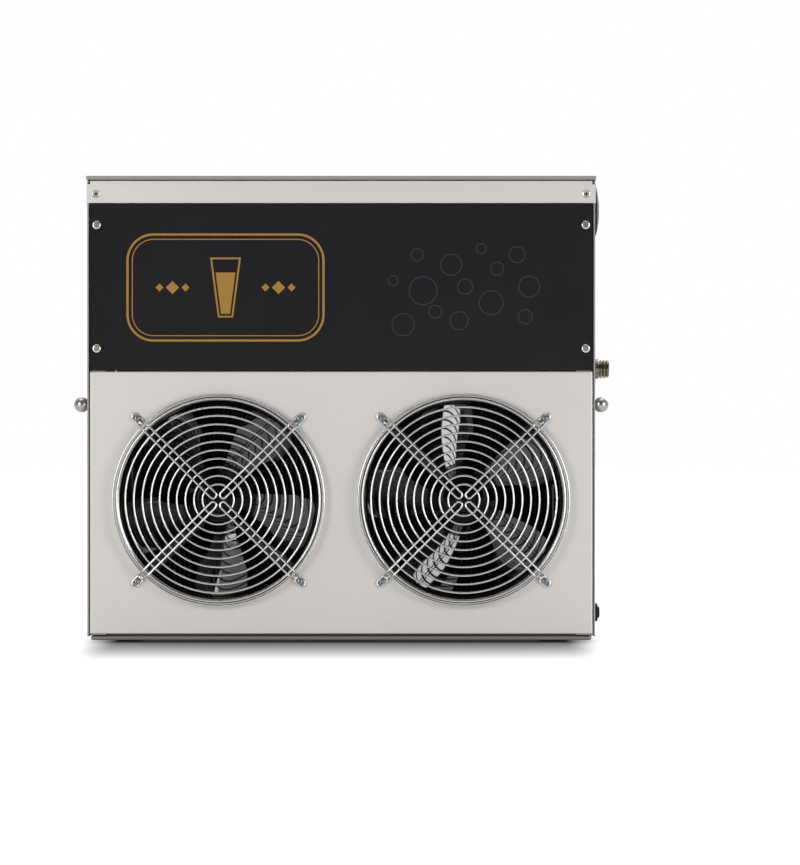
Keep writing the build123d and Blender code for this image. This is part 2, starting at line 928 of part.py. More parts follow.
def condenser_frame():
    # Folded end plates that stand on the pan.
    y0 = front + condenser_setback
    y1 = y0 + condenser_depth
    high = condenser_low + condenser_height
    plates = []
    for sx in (-1, 1):
        x = sorted((sx * condenser_width / 2, sx * (condenser_width / 2 + end_plate)))
        x_foot = sorted((sx * condenser_width / 2, sx * (condenser_width / 2 + flange)))
        upright = slab(x, (y0, y1), (pan_floor, high))
        plates.append(upright + slab(x_foot, (y0, y1), (pan_floor, pan_floor + end_plate)))
    return gather(plates)


def condenser_bends():
    # U-bends of the copper tube outside each end plate.
    y = front + condenser_setback + condenser_depth / 2
    step = condenser_height / tube_rows
    bends = []
    for i in range(tube_rows - 1):
        sx = 1 if i % 2 == 0 else -1
        face = sx * (condenser_width / 2 + end_plate)
        z0 = condenser_low + step * (i + 0.5)
        out = face + sx * (step / 2 + tube_run)
        points = [(face, y, z0), (out, y, z0), (out, y, z0 + step), (face, y, z0 + step)]
        bends.append(tube_along(points, pipe_radius, tube_bend))
    return gather(bends)


def compressor_foot_spots():
    return [(compressor_x + sx * compressor_foot_x, compressor_y + sy * compressor_foot_y)
            for sx in (-1, 1) for sy in (-1, 1)]


def compressor_grommets():
    grommet = rod(grommet_radius, pan_floor, pan_floor + grommet_height)
    return gather([Pos(x, y, 0) * grommet for x, y in compressor_foot_spots()])


def compressor_base():
    z = pan_floor + grommet_height
    x = compressor_foot_x + foot_margin
    y = compressor_foot_y + foot_margin
    plate = Pos(compressor_x, compressor_y, 0) * slab((-x, x), (-y, y), (z, z + foot_plate))
    return fillet(plate.edges().filter_by(Axis.Z), foot_corner)


def compressor_shell():
    low = pan_floor + grommet_height + foot_plate
    high = low + compressor_height
    wall = compressor_wall
    outer = rod(compressor_radius, low, high)
    outer = fillet(outer.edges().filter_by(GeomType.CIRCLE), compressor_round)
    inner = rod(compressor_radius - wall, low + wall, high - wall)
    inner = fillet(inner.edges().filter_by(GeomType.CIRCLE), compressor_round - wall)
    shell = Pos(compressor_x, compressor_y, 0) * (outer - inner)
    for x in pipe_columns():
        shell = shell - Pos(x, compressor_y, 0) * Pos(0, 0, high) * drill(pipe_radius - pipe_wall)
    return shell


def pipe_columns():
    return (compressor_x - pipe_offset, compressor_x + pipe_offset)


def compressor_works():
    # Motor and pump in one block on the floor of the shell.
    low = pan_floor + grommet_height + foot_plate + compressor_wall
    works = rod(compressor_radius - compressor_round, low, low + works_height)
    return Pos(compressor_x, compressor_y, 0) * works


def compressor_top():
    return pan_floor + grommet_height + foot_plate + compressor_height


def terminal_cover():
    x = compressor_x - compressor_radius
    low = compressor_top() - compressor_height / 2 - terminal_size / 2
    y = (compressor_y - terminal_size / 2, compressor_y + terminal_size / 2)
    cover = slab((x - terminal_depth, x + terminal_overlap), y, (low, low + terminal_size))
    cover = fillet(cover.faces().sort_by(Axis.X)[0].edges(), terminal_round)
    return cover - Pos(compressor_x, compressor_y, 0) * rod(compressor_radius, pan_floor, compressor_top())


def discharge_pipe():
    # From the top of the compressor to the condenser's web.
    top = compressor_top()
    x = pipe_columns()[1]
    high = top + pipe_rise
    web = front + condenser_setback + condenser_depth + pipe_radius
    points = [(x, compressor_y, top), (x, compressor_y, high), (x, web, high), (x, web, high - pipe_fall)]
    return tube_along(points, pipe_radius, pipe_bend)


def suction_points():
    top = compressor_top()
    x = pipe_columns()[0]
    return [(x, compressor_y, top), (x, compressor_y, shelf_top)]


def suction_pipe():
    low, high = suction_points()
    return Pos(low[0], low[1], 0) * rod(pipe_radius, low[2], high[2])


def filter_drier():
    # Stands beside the condenser, from the liquid line up to the shelf.
    x = -condenser_width / 2 + drier_inset
    y = front + condenser_setback + condenser_depth + drier_radius + drier_gap
    low = shelf_height - shelf_flange - drier_length - drier_drop
    body = rod(drier_radius, low, low + drier_length)
    body = fillet(body.edges().filter_by(GeomType.CIRCLE), drier_round)
    return Pos(x, y, 0) * (body + rod(capillary_radius, pan_floor, shelf_height))


def insulation_box():
    w = box_wall
    x = box_width / 2
    z = (shelf_top, shelf_top + box_height)
    box = slab((-x, x), (box_front, box_back), z)
    box = box - slab((-x + w, x - w), (box_front + w, box_back - w), (z[0] + w, z[1] + 1))
    bore = Cylinder(line_radius + seat_gap, 3 * w)
    for y, height_in in line_entries():
        box = box - Pos(x, y, height_in) * Rot(0, 90, 0) * bore
    for x_tap in tap_spots():
        box = box - Pos(x_tap, box_back, tap_height) * Rot(90, 0, 0) * bore
    return box


def insulation_lid():
    w = box_wall
    x = box_width / 2 - w - seat_gap
    top = shelf_top + box_height
    return slab((-x, x), (box_front + w + seat_gap, box_back - w - seat_gap), (top - box_lid, top))


def cold_block():
    z = (block_low, block_low + block_height)
    block = slab((-block_width / 2, block_width / 2), (block_front, block_back), z)
    return chamfer(block.edges().filter_by(Axis.Z), block_chamfer)


def line_entries():
    # Where each inlet's line goes into the side of the cold block.
    y = block_front + line_entry_inset
    z = block_low + block_height * line_entry_share
    return [(y + i * line_entry_step, z - i * line_entry_step) for i in range(2)]


def beer_lines():
    # From each inlet's tail up, back and into the side of the cold block.
    lines = []
    start = half_width - inlet_inside - inlet_tail_length
    turn = (start + box_width / 2) / 2
    for y, (y_in, z_in) in zip(inlet_spots(), line_entries()):
        points = [(start, y, inlet_height), (turn, y, inlet_height), (turn, y, z_in),
                  (turn, y_in, z_in), (block_width / 2, y_in, z_in)]
        lines.append(tube_along(points, line_radius, line_bend))
    return lines


def tap_lines():
    lines = []
    for x in tap_spots():
        reach = rod(line_radius, block_back, post_back - shank_inside)
        lines.append(Pos(x, 0, tap_height) * Rot(-90, 0, 0) * reach)
    return lines


def tap_spots():
    return [sx * tap_spacing / 2 for sx in (-1, 1)]


def back_screw_spots():
    heights = (panel_bottom + back_screw_inset, tap_panel_bottom - back_screw_inset,
               tap_panel_bottom + back_screw_inset, fascia_screw_high)
    return [(sx * screw_column, z) for sx in (-1, 1) for z in heights]


def tap_panel():
    panel = slab((-panel_half, panel_half), (post_back, back), (tap_panel_bottom, fascia_top))
    for x in tap_spots():
        panel = panel - facing_back(x, tap_height) * drill(shank_radius + hole_clearance)
    for x, z in back_screw_spots():
        panel = panel - facing_back(x, z) * drill(pan_shank_radius + hole_clearance)
    return panel


def vent_panel():
    panel = slab((-panel_half, panel_half), (post_back, back), (panel_bottom, tap_panel_bottom - joint_gap))
    low = tray_bottom + hook_plate_height + vent_margin
    rows = int((tap_panel_bottom - vent_margin - low) / slot_pitch)
    for column in range(vent_columns):
        x = vent_inset - panel_half + column * vent_column_pitch
        for row in range(rows):
            z = low + row * slot_pitch
            slot = slab((x, x + vent_length), (post_back - 1, back + 1), (z, z + slot_width))
            panel = panel - fillet(slot.edges().filter_by(Axis.Y), slot_width * slot_round_share)
    for x, z in back_screw_spots():
        panel = panel - facing_back(x, z) * drill(pan_shank_radius + hole_clearance)
    w, h = bezel_neck()
    w = w + hole_clearance
    h = h + hole_clearance
    return panel - facing_back(switch_x, switch_height) * slab((-w, w), (-h, h), (-drill_in, drill_out))


def back_screws():
    return gather([facing_back(x, z) * pan_screw() for x, z in back_screw_spots()])


def tap_shanks():
    shank = turned([
        (spout_bore, shank_flange),
        (shank_flange_radius, shank_flange),
        (shank_flange_radius, 0),
        (shank_radius, 0),
        (shank_radius, -panel_sheet - shank_inside),
        (spout_bore, -panel_sheet - shank_inside),
    ])
    return gather([facing_back(x, tap_height) * shank for x in tap_spots()])


def shank_nuts():
    nut = extrude(RegularPolygon(shank_nut_radius, 6), shank_nut)
    nut = Pos(0, 0, -panel_sheet - shank_nut) * nut - drill(shank_radius + running_fit)
    return gather([facing_back(x, tap_height) * nut for x in tap_spots()])


def tap_face():
    return back + shank_flange


def spout_y():
    return tap_face() + barrel_length - spout_inset


def lever_pivot():
    return (tap_face() + barrel_length - lever_pivot_in, tap_height + lever_pivot_up)


def tap_body(x):
    y0 = tap_face()
    barrel = rod(barrel_radius, 0, barrel_length)
    barrel = fillet(barrel.edges().sort_by(Axis.Z)[-1], barrel_round)
    coupling = extrude(RegularPolygon(coupling_radius, 8), coupling_length)
    body = facing_back(x, tap_height, y0) * (barrel + coupling)
    spout = Cone(spout_radius - spout_taper, spout_radius, spout_drop)
    body = body + Pos(x, spout_y(), tap_height - spout_drop / 2) * spout
    bore = Cylinder(spout_bore, spout_drop)
    body = body - Pos(x, spout_y(), tap_height - spout_drop / 2 - spout_bore_top) * bore
    # The fork on top that holds the lever's pin.
    py, pz = lever_pivot()
    half = lever_hub_width / 2 + seat_gap
    bonnet = Pos(x, py, tap_height) * rod(bonnet_radius, 0, bonnet_height)
    floor = pz - lever_hub_radius - fork_floor_gap
    wide = half + cheek_sheet
    y = (py - fork_half, py + fork_half)
    bonnet = bonnet + slab((x - wide, x + wide), y, (tap_height, pz + fork_half))
    bonnet = bonnet - slab((x - half, x + half), (py - fork_cut, py + fork_cut), (floor, pz + fork_cut))
    pin = Pos(x, py, pz) * Rot(0, 90, 0) * Cylinder(lever_pin_radius, 2 * wide)
    # The stub that the flow lever turns on.
    stub = rod(flow_pin_radius, 0, barrel_radius + seat_gap + flow_hub_width)
    stub = Pos(x, y0 + barrel_length - flow_inset, tap_height) * Rot(0, 90, 0) * stub
    return body + bonnet + pin + stub


def tap_lever(x):
    py, pz = lever_pivot()
    hub = Pos(x, py, pz) * Rot(0, 90, 0) * Cylinder(lever_hub_radius, lever_hub_width)
    bore = Pos(x, py, pz) * Rot(0, 90, 0) * Cylinder(lever_pin_radius + running_fit, lever_hub_width + 2)
    stem = Pos(x, py, pz) * rod(lever_stem_radius, 0, lever_stem_length)
    return hub + stem - bore


def tap_handle(x):
    py, pz = lever_pivot()
    low = lever_stem_length - handle_overlap
    high = low + handle_length
    r0 = handle_low_radius
    r1 = handle_high_radius
    grip = turned([
        (0, low),
        (r0 - handle_edge, low),
        (r0, low + handle_edge),
        (r0 - handle_waist, low + handle_length * handle_waist_at),
        (r1 - handle_swell, low + handle_length * handle_swell_at),
        (r1, high - handle_shoulder),
        (r1 - handle_crown, high - handle_edge),
        (0, high),
    ])
    grip = grip - rod(lever_stem_radius + running_fit, low - 1, lever_stem_length + seat_gap)
    return Pos(x, py, pz) * grip


def flow_lever(x):
    # A small lever beside the barrel that throttles the flow.
    y = tap_face() + barrel_length - flow_inset
    near = barrel_radius + seat_gap
    hub = rod(flow_hub_radius, near, near + flow_hub_width)
    far = near + flow_hub_width
    half = flow_arm_width / 2
    arm = slab((0, flow_arm_length), (-half, half), (near + flow_arm_gap, far))
    arm = arm + Pos(flow_arm_length, 0, 0) * rod(half, near + flow_arm_gap, far)
    bore = rod(flow_pin_radius + running_fit, 0, far + drill_out)
    return Pos(x, y, tap_height) * Rot(0, 90, 0) * (hub + arm - bore)


def lip_face():
    return back + hook_reach


def tray_hook():
    half = hook_width / 2
    low = tray_bottom + hook_lift
    plate = slab((-half, half), (back, back + hook_sheet), (low, low + hook_plate_height))
    ledge = slab((-half, half), (back, lip_face()), (low, low + hook_sheet))
    lip = slab((-half, half), (lip_face() - hook_sheet, lip_face()), (low, low + hook_lip))
    return plate + ledge + lip


def drip_tray():
    half = tray_width / 2
    t = tray_sheet
    near = lip_face() + seat_gap
    far = near + tray_reach
    z = (tray_bottom, tray_bottom + tray_height)
    outer = slab((-half, half), (near, far), z)
    outer = fillet(outer.edges().filter_by(Axis.Z), tray_corner)
    outer = fillet(outer.faces().sort_by(Axis.Z)[0].edges(), tray_floor_round)
    inner = slab((-half + t, half - t), (near + t, far - t), (z[0] + t, z[1] + 1))
    inner = fillet(inner.edges().filter_by(Axis.Z), tray_corner - t)
    tray = outer - inner
    # A hem on the rear wall goes back over the lip of the hook and down behind it.
    lip_top = tray_bottom + hook_lift + hook_lip
    hem = hook_width / 2 - hem_inset
    behind = lip_face() - hook_sheet - seat_gap
    tray = tray + slab((-hem, hem), (near, near + t), (z[1] - hem_overlap, lip_top + seat_gap + t))
    tray = tray + slab((-hem, hem), (behind - t, near + t), (lip_top + seat_gap, lip_top + seat_gap + t))
    return tray + slab((-hem, hem), (behind - t, behind), (lip_top - hem_drop, lip_top + seat_gap + t))


def drip_grid():
    t = tray_sheet
    gap = grid_edge_gap
    half = tray_width / 2 - t - gap
    near = lip_face() + seat_gap + t + gap
    far = near + tray_reach - 2 * (t + gap)
    top = tray_bottom + tray_height - grid_drop
    grid = slab((-half, half), (near, far), (top - grid_sheet, top))
    grid = fillet(grid.edges().filter_by(Axis.Z), grid_corner)
    slots = int((2 * half - 2 * grid_margin) / slot_pitch)
    middle = (near + far) / 2
    near_row = (near + grid_margin, middle - grid_mid_bar / 2)
    far_row = (middle + grid_mid_bar / 2, far - grid_margin)
    for i in range(slots):
        x = (i - (slots - 1) / 2) * slot_pitch
        for row in (near_row, far_row):
            slot = slab((x - slot_width / 2, x + slot_width / 2), row, (top - grid_sheet - 1, top + 1))
            grid = grid - fillet(slot.edges().filter_by(Axis.Z), slot_width * slot_round_share)
    floor = tray_bottom + t + seat_gap
    for x in (grid_leg_inset - half, half - grid_leg_inset):
        for y in (near + grid_leg_inset, far - grid_leg_inset):
            grid = grid + Pos(x, y, 0) * rod(grid_leg_radius, floor, top)
    return grid


def bezel_neck():
    # Half the width and half the height of the part behind the panel's face.
    return (rocker_width / 2 + seat_gap + bezel_wall, rocker_height / 2 + rocker_end_gap + bezel_wall)


def switch_bezel():
    # A frame round the rocker with two pin seats inside.
    w = bezel_width / 2
    h = bezel_height / 2
    neck_w, neck_h = bezel_neck()
    inner_w = neck_w - bezel_wall
    inner_h = neck_h - bezel_wall
    frame = slab((-w, w), (-h, h), (0, bezel_proud))
    frame = fillet(frame.faces().sort_by(Axis.Z)[-1].edges(), bezel_round)
    low = -rocker_depth - bezel_back
    frame = frame + slab((-neck_w, neck_w), (-neck_h, neck_h), (low, bezel_proud / 2))
    frame = frame - slab((-inner_w, inner_w), (-inner_h, inner_h), (low + bezel_wall, bezel_proud + 1))
    pin = Rot(0, 90, 0) * Cylinder(rocker_pin_radius, 2 * neck_w)
    frame = frame + Pos(0, 0, -rocker_pin_drop) * pin
    return facing_back(switch_x, switch_height) * frame


def switch_rocker():
    w = rocker_width / 2
    h = rocker_height / 2
    rocker = slab((-w, w), (-h, h), (-rocker_back, bezel_proud + rocker_proud))
    rocker = fillet(rocker.edges().filter_by(Axis.X), rocker_round)
    dish = bezel_proud + rocker_dish_floor + rocker_dish_radius
    rocker = rocker - Pos(0, 0, dish) * Rot(0, 90, 0) * Cylinder(rocker_dish_radius, rocker_height)
    bore = Rot(0, 90, 0) * Cylinder(rocker_pin_radius + running_fit, rocker_height)
    bore = Pos(0, 0, -rocker_pin_drop) * bore
    return facing_back(switch_x, switch_height) * (rocker - bore)


def build_all():
    nodes = {
        "rubber_feet": rubber_feet(),
        "base_pan": base_pan(),
        "side_panel_left": side_panel_left(),
        "side_panel_right": side_panel_right(),
        "corner_posts": corner_posts(),
        "front_sill": front_sill(),
        "fan_panel": fan_panel(),
        "fascia": fascia(),
        "fascia_screws": fascia_screws(),
        "top_collar": top_collar(),
        "top_lid": top_lid(),
        "collar_screws": collar_screws(),
        "divider_shelf": divider_shelf(),
        "guard_screws": guard_screws(),
        "inlet_fittings": inlet_fittings(),
        "inlet_nuts": inlet_nuts(),
        "cable_gland": gather([cable_gland(), gland_nut()]),
        "thermostat_dial": thermostat_dial(),
        "thermostat_body": thermostat_body(),
        "condenser_core": condenser_core(),
        "condenser_frame": condenser_frame(),
        "condenser_bends": condenser_bends(),
        "compressor_grommets": compressor_grommets(),
        "compressor_base": compressor_base(),
        "compressor_shell": compressor_shell(),
        "compressor_works": compressor_works(),
        "terminal_cover": terminal_cover(),
        "copper_pipes": gather([discharge_pipe(), suction_pipe()]),
        "filter_drier": filter_drier(),
        "insulation_box": gather([insulation_box(), insulation_lid()]),
        "cold_block": cold_block(),
        "beer_lines": gather(beer_lines() + tap_lines()),
        "tap_panel": tap_panel(),
        "vent_panel": vent_panel(),
        "back_screws": back_screws(),
        "tap_shanks": tap_shanks(),
        "shank_nuts": shank_nuts(),
        "tray_hook": tray_hook(),
        "drip_tray": drip_tray(),
        "drip_grid": drip_grid(),
        "switch_bezel": switch_bezel(),
        "switch_rocker": switch_rocker(),
    }
    knob_place = facing_right(front + knob_setback, knob_height)
    nodes["ball_knob_right"] = knob_place * ball_knob()
    nodes["ball_knob_left"] = mirrored(nodes["ball_knob_right"])
    guard = wire_guard()
    duct = duct_ring()
    wheel = fan_wheel()
    fan_places = [facing_front(x, z) for x, z in fan_centres()]
    nodes["fan_motors"] = gather([place * fan_motor() for place in fan_places])
    nodes["motor_brackets"] = gather([place * motor_bracket() for place in fan_places])
    angles = (left_fan_angle, right_fan_angle)
    for side, place, angle in zip(("left", "right"), fan_places, angles):
        nodes["fan_guard_" + side] = place * guard
        nodes["bell_mouth_" + side] = place * duct
        nodes["fan_wheel_" + side] = place * Rot(0, 0, angle) * wheel
    for side, x in zip(("left", "right"), tap_spots()):
        nodes["tap_body_" + side] = tap_body(x)
        nodes["tap_lever_" + side] = tap_lever(x)
        nodes["tap_handle_" + side] = tap_handle(x)
        nodes["flow_lever_" + side] = flow_lever(x)
    return nodes


os.makedirs(parts_folder, exist_ok=True)
for name, shape in build_all().items():
    export_step(shape, parts_folder + "/" + name + ".step")
    print(name, len(shape.solids()))
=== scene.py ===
import json
import math
import bmesh
import bpy
from mathutils import Matrix, Vector


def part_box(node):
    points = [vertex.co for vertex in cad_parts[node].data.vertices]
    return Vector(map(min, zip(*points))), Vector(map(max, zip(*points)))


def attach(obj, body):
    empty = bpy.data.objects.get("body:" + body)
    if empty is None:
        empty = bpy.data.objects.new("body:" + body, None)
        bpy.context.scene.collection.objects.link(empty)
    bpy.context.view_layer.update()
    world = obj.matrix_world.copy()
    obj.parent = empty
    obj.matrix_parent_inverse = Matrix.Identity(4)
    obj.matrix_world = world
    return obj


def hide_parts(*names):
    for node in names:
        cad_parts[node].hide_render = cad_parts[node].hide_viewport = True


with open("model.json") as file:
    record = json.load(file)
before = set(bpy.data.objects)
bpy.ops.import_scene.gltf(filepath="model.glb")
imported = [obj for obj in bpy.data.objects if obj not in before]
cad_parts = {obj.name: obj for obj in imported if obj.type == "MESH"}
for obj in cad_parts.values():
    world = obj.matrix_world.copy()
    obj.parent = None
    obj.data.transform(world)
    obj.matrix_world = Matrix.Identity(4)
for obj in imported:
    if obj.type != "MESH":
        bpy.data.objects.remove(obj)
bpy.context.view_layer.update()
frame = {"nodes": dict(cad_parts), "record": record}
nodes = frame["nodes"]
scene = bpy.context.scene
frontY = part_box("fan_panel")[0][1]
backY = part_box("tap_panel")[1][1]
fanCentres = {}
for side in ("left", "right"):
    low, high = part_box("bell_mouth_" + side)
    fanCentres[side] = ((low[0] + high[0]) / 2, (low[2] + high[2]) / 2)
print("frame loaded:", len(nodes), "nodes")

# Camera: square on to the fan side, at the height and column of the picture's middle
photo = {"height": 865, "metresPerPixel": 0.001, "distance": 4.0, "axisX": 0.0588, "axisZ": 0.2102,
         "sensor": 36.0, "clipEnd": 100}
cameraData = bpy.data.cameras.new("photoCamera")
cameraData.sensor_width = photo["sensor"]
cameraData.lens = photo["sensor"] * photo["distance"] / (photo["height"] * photo["metresPerPixel"])
cameraData.clip_end = photo["clipEnd"]
camera = bpy.data.objects.new("photoCamera", cameraData)
camera.location = (photo["axisX"], frontY - photo["distance"], photo["axisZ"])
camera.rotation_euler = (math.radians(90), 0, 0)
scene.collection.objects.link(camera)
scene.camera = camera
scene.view_settings.view_transform = "Standard"
print("camera set")


# Shader helpers
def newTree(name):
    material = bpy.data.materials.new(name)
    material.use_nodes = True
    tree = material.node_tree
    return material, tree, tree.nodes["Principled BSDF"]


def addNode(tree, kind, **values):
    node = tree.nodes.new(kind)
    for key, value in values.items():
        if hasattr(node, key):
            setattr(node, key, value)
        else:
            node.inputs[key].default_value = value
    return node


def addMath(tree, operation, first, second=0.0):
    node = tree.nodes.new("ShaderNodeMath")
    node.operation = operation
    for socket, value in zip(node.inputs, (first, second)):
        if isinstance(value, (int, float)):
            socket.default_value = value
        else:
            tree.links.new(value, socket)
    return node.outputs[0]


def addRange(tree, source, target, span=(0.0, 1.0), interpolation="LINEAR"):
    node = tree.nodes.new("ShaderNodeMapRange")
    node.interpolation_type = interpolation
    tree.links.new(source, node.inputs["Value"])
    for label, value in zip(("From Min", "From Max", "To Min", "To Max"), (*span, *target)):
        node.inputs[label].default_value = value
    return node.outputs["Result"]


def addMix(tree, mask, first, second):
    # Each colour is a socket or three numbers
    node = tree.nodes.new("ShaderNodeMix")
    node.data_type = "RGBA"
    tree.links.new(mask, node.inputs["Factor"])
    sockets = [socket for socket in node.inputs if socket.type == "RGBA"]
    for socket, colour in zip(sockets, (first, second)):
        if isinstance(colour, tuple):
            socket.default_value = (*colour, 1)
        else:
            tree.links.new(colour, socket)
    return [socket for socket in node.outputs if socket.type == "RGBA"][0]


def addAxes(tree, kind="Object"):
    place = tree.nodes.new("ShaderNodeTexCoord")
    parts = tree.nodes.new("ShaderNodeSeparateXYZ")
    tree.links.new(place.outputs[kind], parts.inputs["Vector"])
    return parts.outputs


def addLength(tree, first, second):
    squares = [addMath(tree, "MULTIPLY", part, part) for part in (first, second)]
    return addMath(tree, "SQRT", addMath(tree, "ADD", *squares))


def addDistance(tree, source, middle):
    return addMath(tree, "ABSOLUTE", addMath(tree, "SUBTRACT", source, middle))


def addPast(tree, source, limit):
    return addMath(tree, "MAXIMUM", addMath(tree, "SUBTRACT", source, limit), 0.0)


def addWithin(tree, source, limit):
    return addMath(tree, "LESS_THAN", addMath(tree, "ABSOLUTE", source), limit)


def addBand(tree, source, low, high):
    above = addMath(tree, "GREATER_THAN", source, low)
    return addMath(tree, "MULTIPLY", above, addMath(tree, "LESS_THAN", source, high))


def addUnion(tree, masks):
    joined = masks[0]
    for mask in masks[1:]:
        joined = addMath(tree, "MAXIMUM", joined, mask)
    return joined


def newGroup(name, inputs, outputs):
    group = bpy.data.node_groups.new(name, "ShaderNodeTree")
    for label, kind, value in inputs:
        socket = group.interface.new_socket(label, in_out="INPUT", socket_type=kind)
        socket.default_value = value
    for label in outputs:
        group.interface.new_socket(label, in_out="OUTPUT", socket_type="NodeSocketFloat")
    return group, group.nodes.new("NodeGroupInput"), group.nodes.new("NodeGroupOutput")


def buildGrainGroup():
    # Fine lines of rolled or brushed sheet, drawn out along one axis
    inputs = [("Stretch", "NodeSocketVector", (40, 900, 900)), ("Cloud Scale", "NodeSocketFloat", 9.0)]
    group, start, end = newGroup("sheetGrain", inputs, ("Lines", "Clouds"))
    place = group.nodes.new("ShaderNodeTexCoord")
    mapping = group.nodes.new("ShaderNodeMapping")
    group.links.new(place.outputs["Object"], mapping.inputs["Vector"])
    group.links.new(start.outputs["Stretch"], mapping.inputs["Scale"])
    lines = addNode(group, "ShaderNodeTexNoise", Scale=1.0, Detail=3.0, Roughness=0.6)
    group.links.new(mapping.outputs["Vector"], lines.inputs["Vector"])
    clouds = addNode(group, "ShaderNodeTexNoise", Detail=4.0, Roughness=0.55)
    group.links.new(place.outputs["Object"], clouds.inputs["Vector"])
    group.links.new(start.outputs["Cloud Scale"], clouds.inputs["Scale"])
    group.links.new(lines.outputs["Fac"], end.inputs["Lines"])
    group.links.new(clouds.outputs["Fac"], end.inputs["Clouds"])
    return group


def buildSmudgeGroup():
    # Faint marks of handling, with fine specks of dust over them
    inputs = [("Smudge Scale", "NodeSocketFloat", 18.0), ("Speck Scale", "NodeSocketFloat", 900.0)]
    group, start, end = newGroup("handling", inputs, ("Smudges", "Specks"))
    place = group.nodes.new("ShaderNodeTexCoord")
    smudge = addNode(group, "ShaderNodeTexNoise", Detail=5.0, Roughness=0.62, Distortion=0.6)
    specks = addNode(group, "ShaderNodeTexNoise", Detail=2.0, Roughness=0.7)
    for node, label in ((smudge, "Smudge Scale"), (specks, "Speck Scale")):
        group.links.new(place.outputs["Object"], node.inputs["Vector"])
        group.links.new(start.outputs[label], node.inputs["Scale"])
    group.links.new(smudge.outputs["Fac"], end.inputs["Smudges"])
    group.links.new(specks.outputs["Fac"], end.inputs["Specks"])
    return group


grainGroup = buildGrainGroup()
smudgeGroup = buildSmudgeGroup()
grainShares = {"Lines": 0.45, "Clouds": 0.55}
bumpDepth = {"lines": 0.0002, "specks": 0.0003}


def addBump(tree, shader, height, strength, distance):
    bump = addNode(tree, "ShaderNodeBump", Strength=strength, Distance=distance)
    tree.links.new(height, bump.inputs["Height"])
    tree.links.new(bump.outputs["Normal"], shader.inputs["Normal"])


def addMarks(tree, shader, look):
    # Smudges vary the gloss and specks give the texture; the smudges are handed back for the colour
    marks = addNode(tree, "ShaderNodeGroup", node_tree=smudgeGroup)
    marks.inputs["Smudge Scale"].default_value = look["smudge"]
    marks.inputs["Speck Scale"].default_value = look["speck"]
    smudges = marks.outputs["Smudges"]
    tree.links.new(addRange(tree, smudges, look["rough"]), shader.inputs["Roughness"])
    shader.inputs["Specular IOR Level"].default_value = look.get("specular", 0.5)
    addBump(tree, shader, marks.outputs["Specks"], look["bump"], bumpDepth["specks"])
    return smudges


def sheetMetal(name, look):
    # Both colour and gloss follow the drawn-out grain a little
    material, tree, shader = newTree(name)
    grain = addNode(tree, "ShaderNodeGroup", node_tree=grainGroup)
    grain.inputs["Stretch"].default_value = look["stretch"]
    grain.inputs["Cloud Scale"].default_value = look["clouds"]
    parts = [addMath(tree, "MULTIPLY", grain.outputs[label], share) for label, share in grainShares.items()]
    blended = addMath(tree, "ADD", *parts)
    tree.links.new(addMix(tree, blended, look["dark"], look["light"]), shader.inputs["Base Color"])
    tree.links.new(addRange(tree, blended, look["rough"]), shader.inputs["Roughness"])
    shader.inputs["Metallic"].default_value = look["metal"]
    addBump(tree, shader, grain.outputs["Lines"], look["bump"], bumpDepth["lines"])
    return material


def plainFinish(name, look):
    # Cast, turned, painted or moulded surface
    material, tree, shader = newTree(name)
    smudges = addMarks(tree, shader, look)
    tree.links.new(addMix(tree, smudges, look["dark"], look["light"]), shader.inputs["Base Color"])
    shader.inputs["Metallic"].default_value = look["metal"]
    return material


def addPrint(material, mask, colour):
    # A second colour over the finish that the material has already
    tree = material.node_tree
    base = tree.nodes["Principled BSDF"].inputs["Base Color"]
    tree.links.new(addMix(tree, mask, base.links[0].from_socket, colour), base)


sheetLooks = {
    "steel_front": {"dark": (0.574, 0.548, 0.520), "light": (0.634, 0.606, 0.578),
                    "rough": (0.48, 0.58), "metal": 0.55,
                    "stretch": (30, 900, 900), "clouds": 6.0, "bump": 0.08},
    "steel_sheet": {"dark": (0.360, 0.354, 0.340), "light": (0.430, 0.423, 0.405),
                    "rough": (0.32, 0.44), "metal": 0.75,
                    "stretch": (700, 25, 700), "clouds": 5.0, "bump": 0.10},
    "steel_inner": {"dark": (0.30, 0.30, 0.295), "light": (0.40, 0.40, 0.39),
                    "rough": (0.35, 0.55), "metal": 0.9,
                    "stretch": (300, 300, 40), "clouds": 14.0, "bump": 0.10},
    # Painted shade: the aluminium condenser fins are coloured near black for the dark inside of the cabinet
    "fin_aluminium": {"dark": (0.02, 0.02, 0.02), "light": (0.05, 0.05, 0.05),
                      "rough": (0.50, 0.70), "metal": 0.6,
                      "stretch": (400, 400, 60), "clouds": 20.0, "bump": 0.10},
    "duct_metal": {"dark": (0.46, 0.46, 0.45), "light": (0.60, 0.60, 0.59),
                   "rough": (0.14, 0.24), "metal": 1.0,
                   "stretch": (200, 900, 200), "clouds": 16.0, "bump": 0.05},
}
# Painted shade: the lid gets a darker copy of the sheet steel, so its top shows less of the lamps
sheetLooks["darkRim"] = {**sheetLooks["steel_sheet"], "dark": (0.25, 0.245, 0.235),
                         "light": (0.30, 0.294, 0.282), "rough": (0.48, 0.58), "metal": 0.5}
# Painted shade: the base pan by the floor gets a darker copy of the sheet steel
sheetLooks["darkPan"] = {**sheetLooks["steel_sheet"], "dark": (0.19, 0.182, 0.168),
                         "light": (0.25, 0.240, 0.223)}
# Painted shade: the sill in the gap under the fan panel is near-black steel, a dark strip where there is only
# shadow
sheetLooks["darkSill"] = {**sheetLooks["steel_inner"], "dark": (0.05, 0.048, 0.045),
                          "light": (0.09, 0.087, 0.082)}
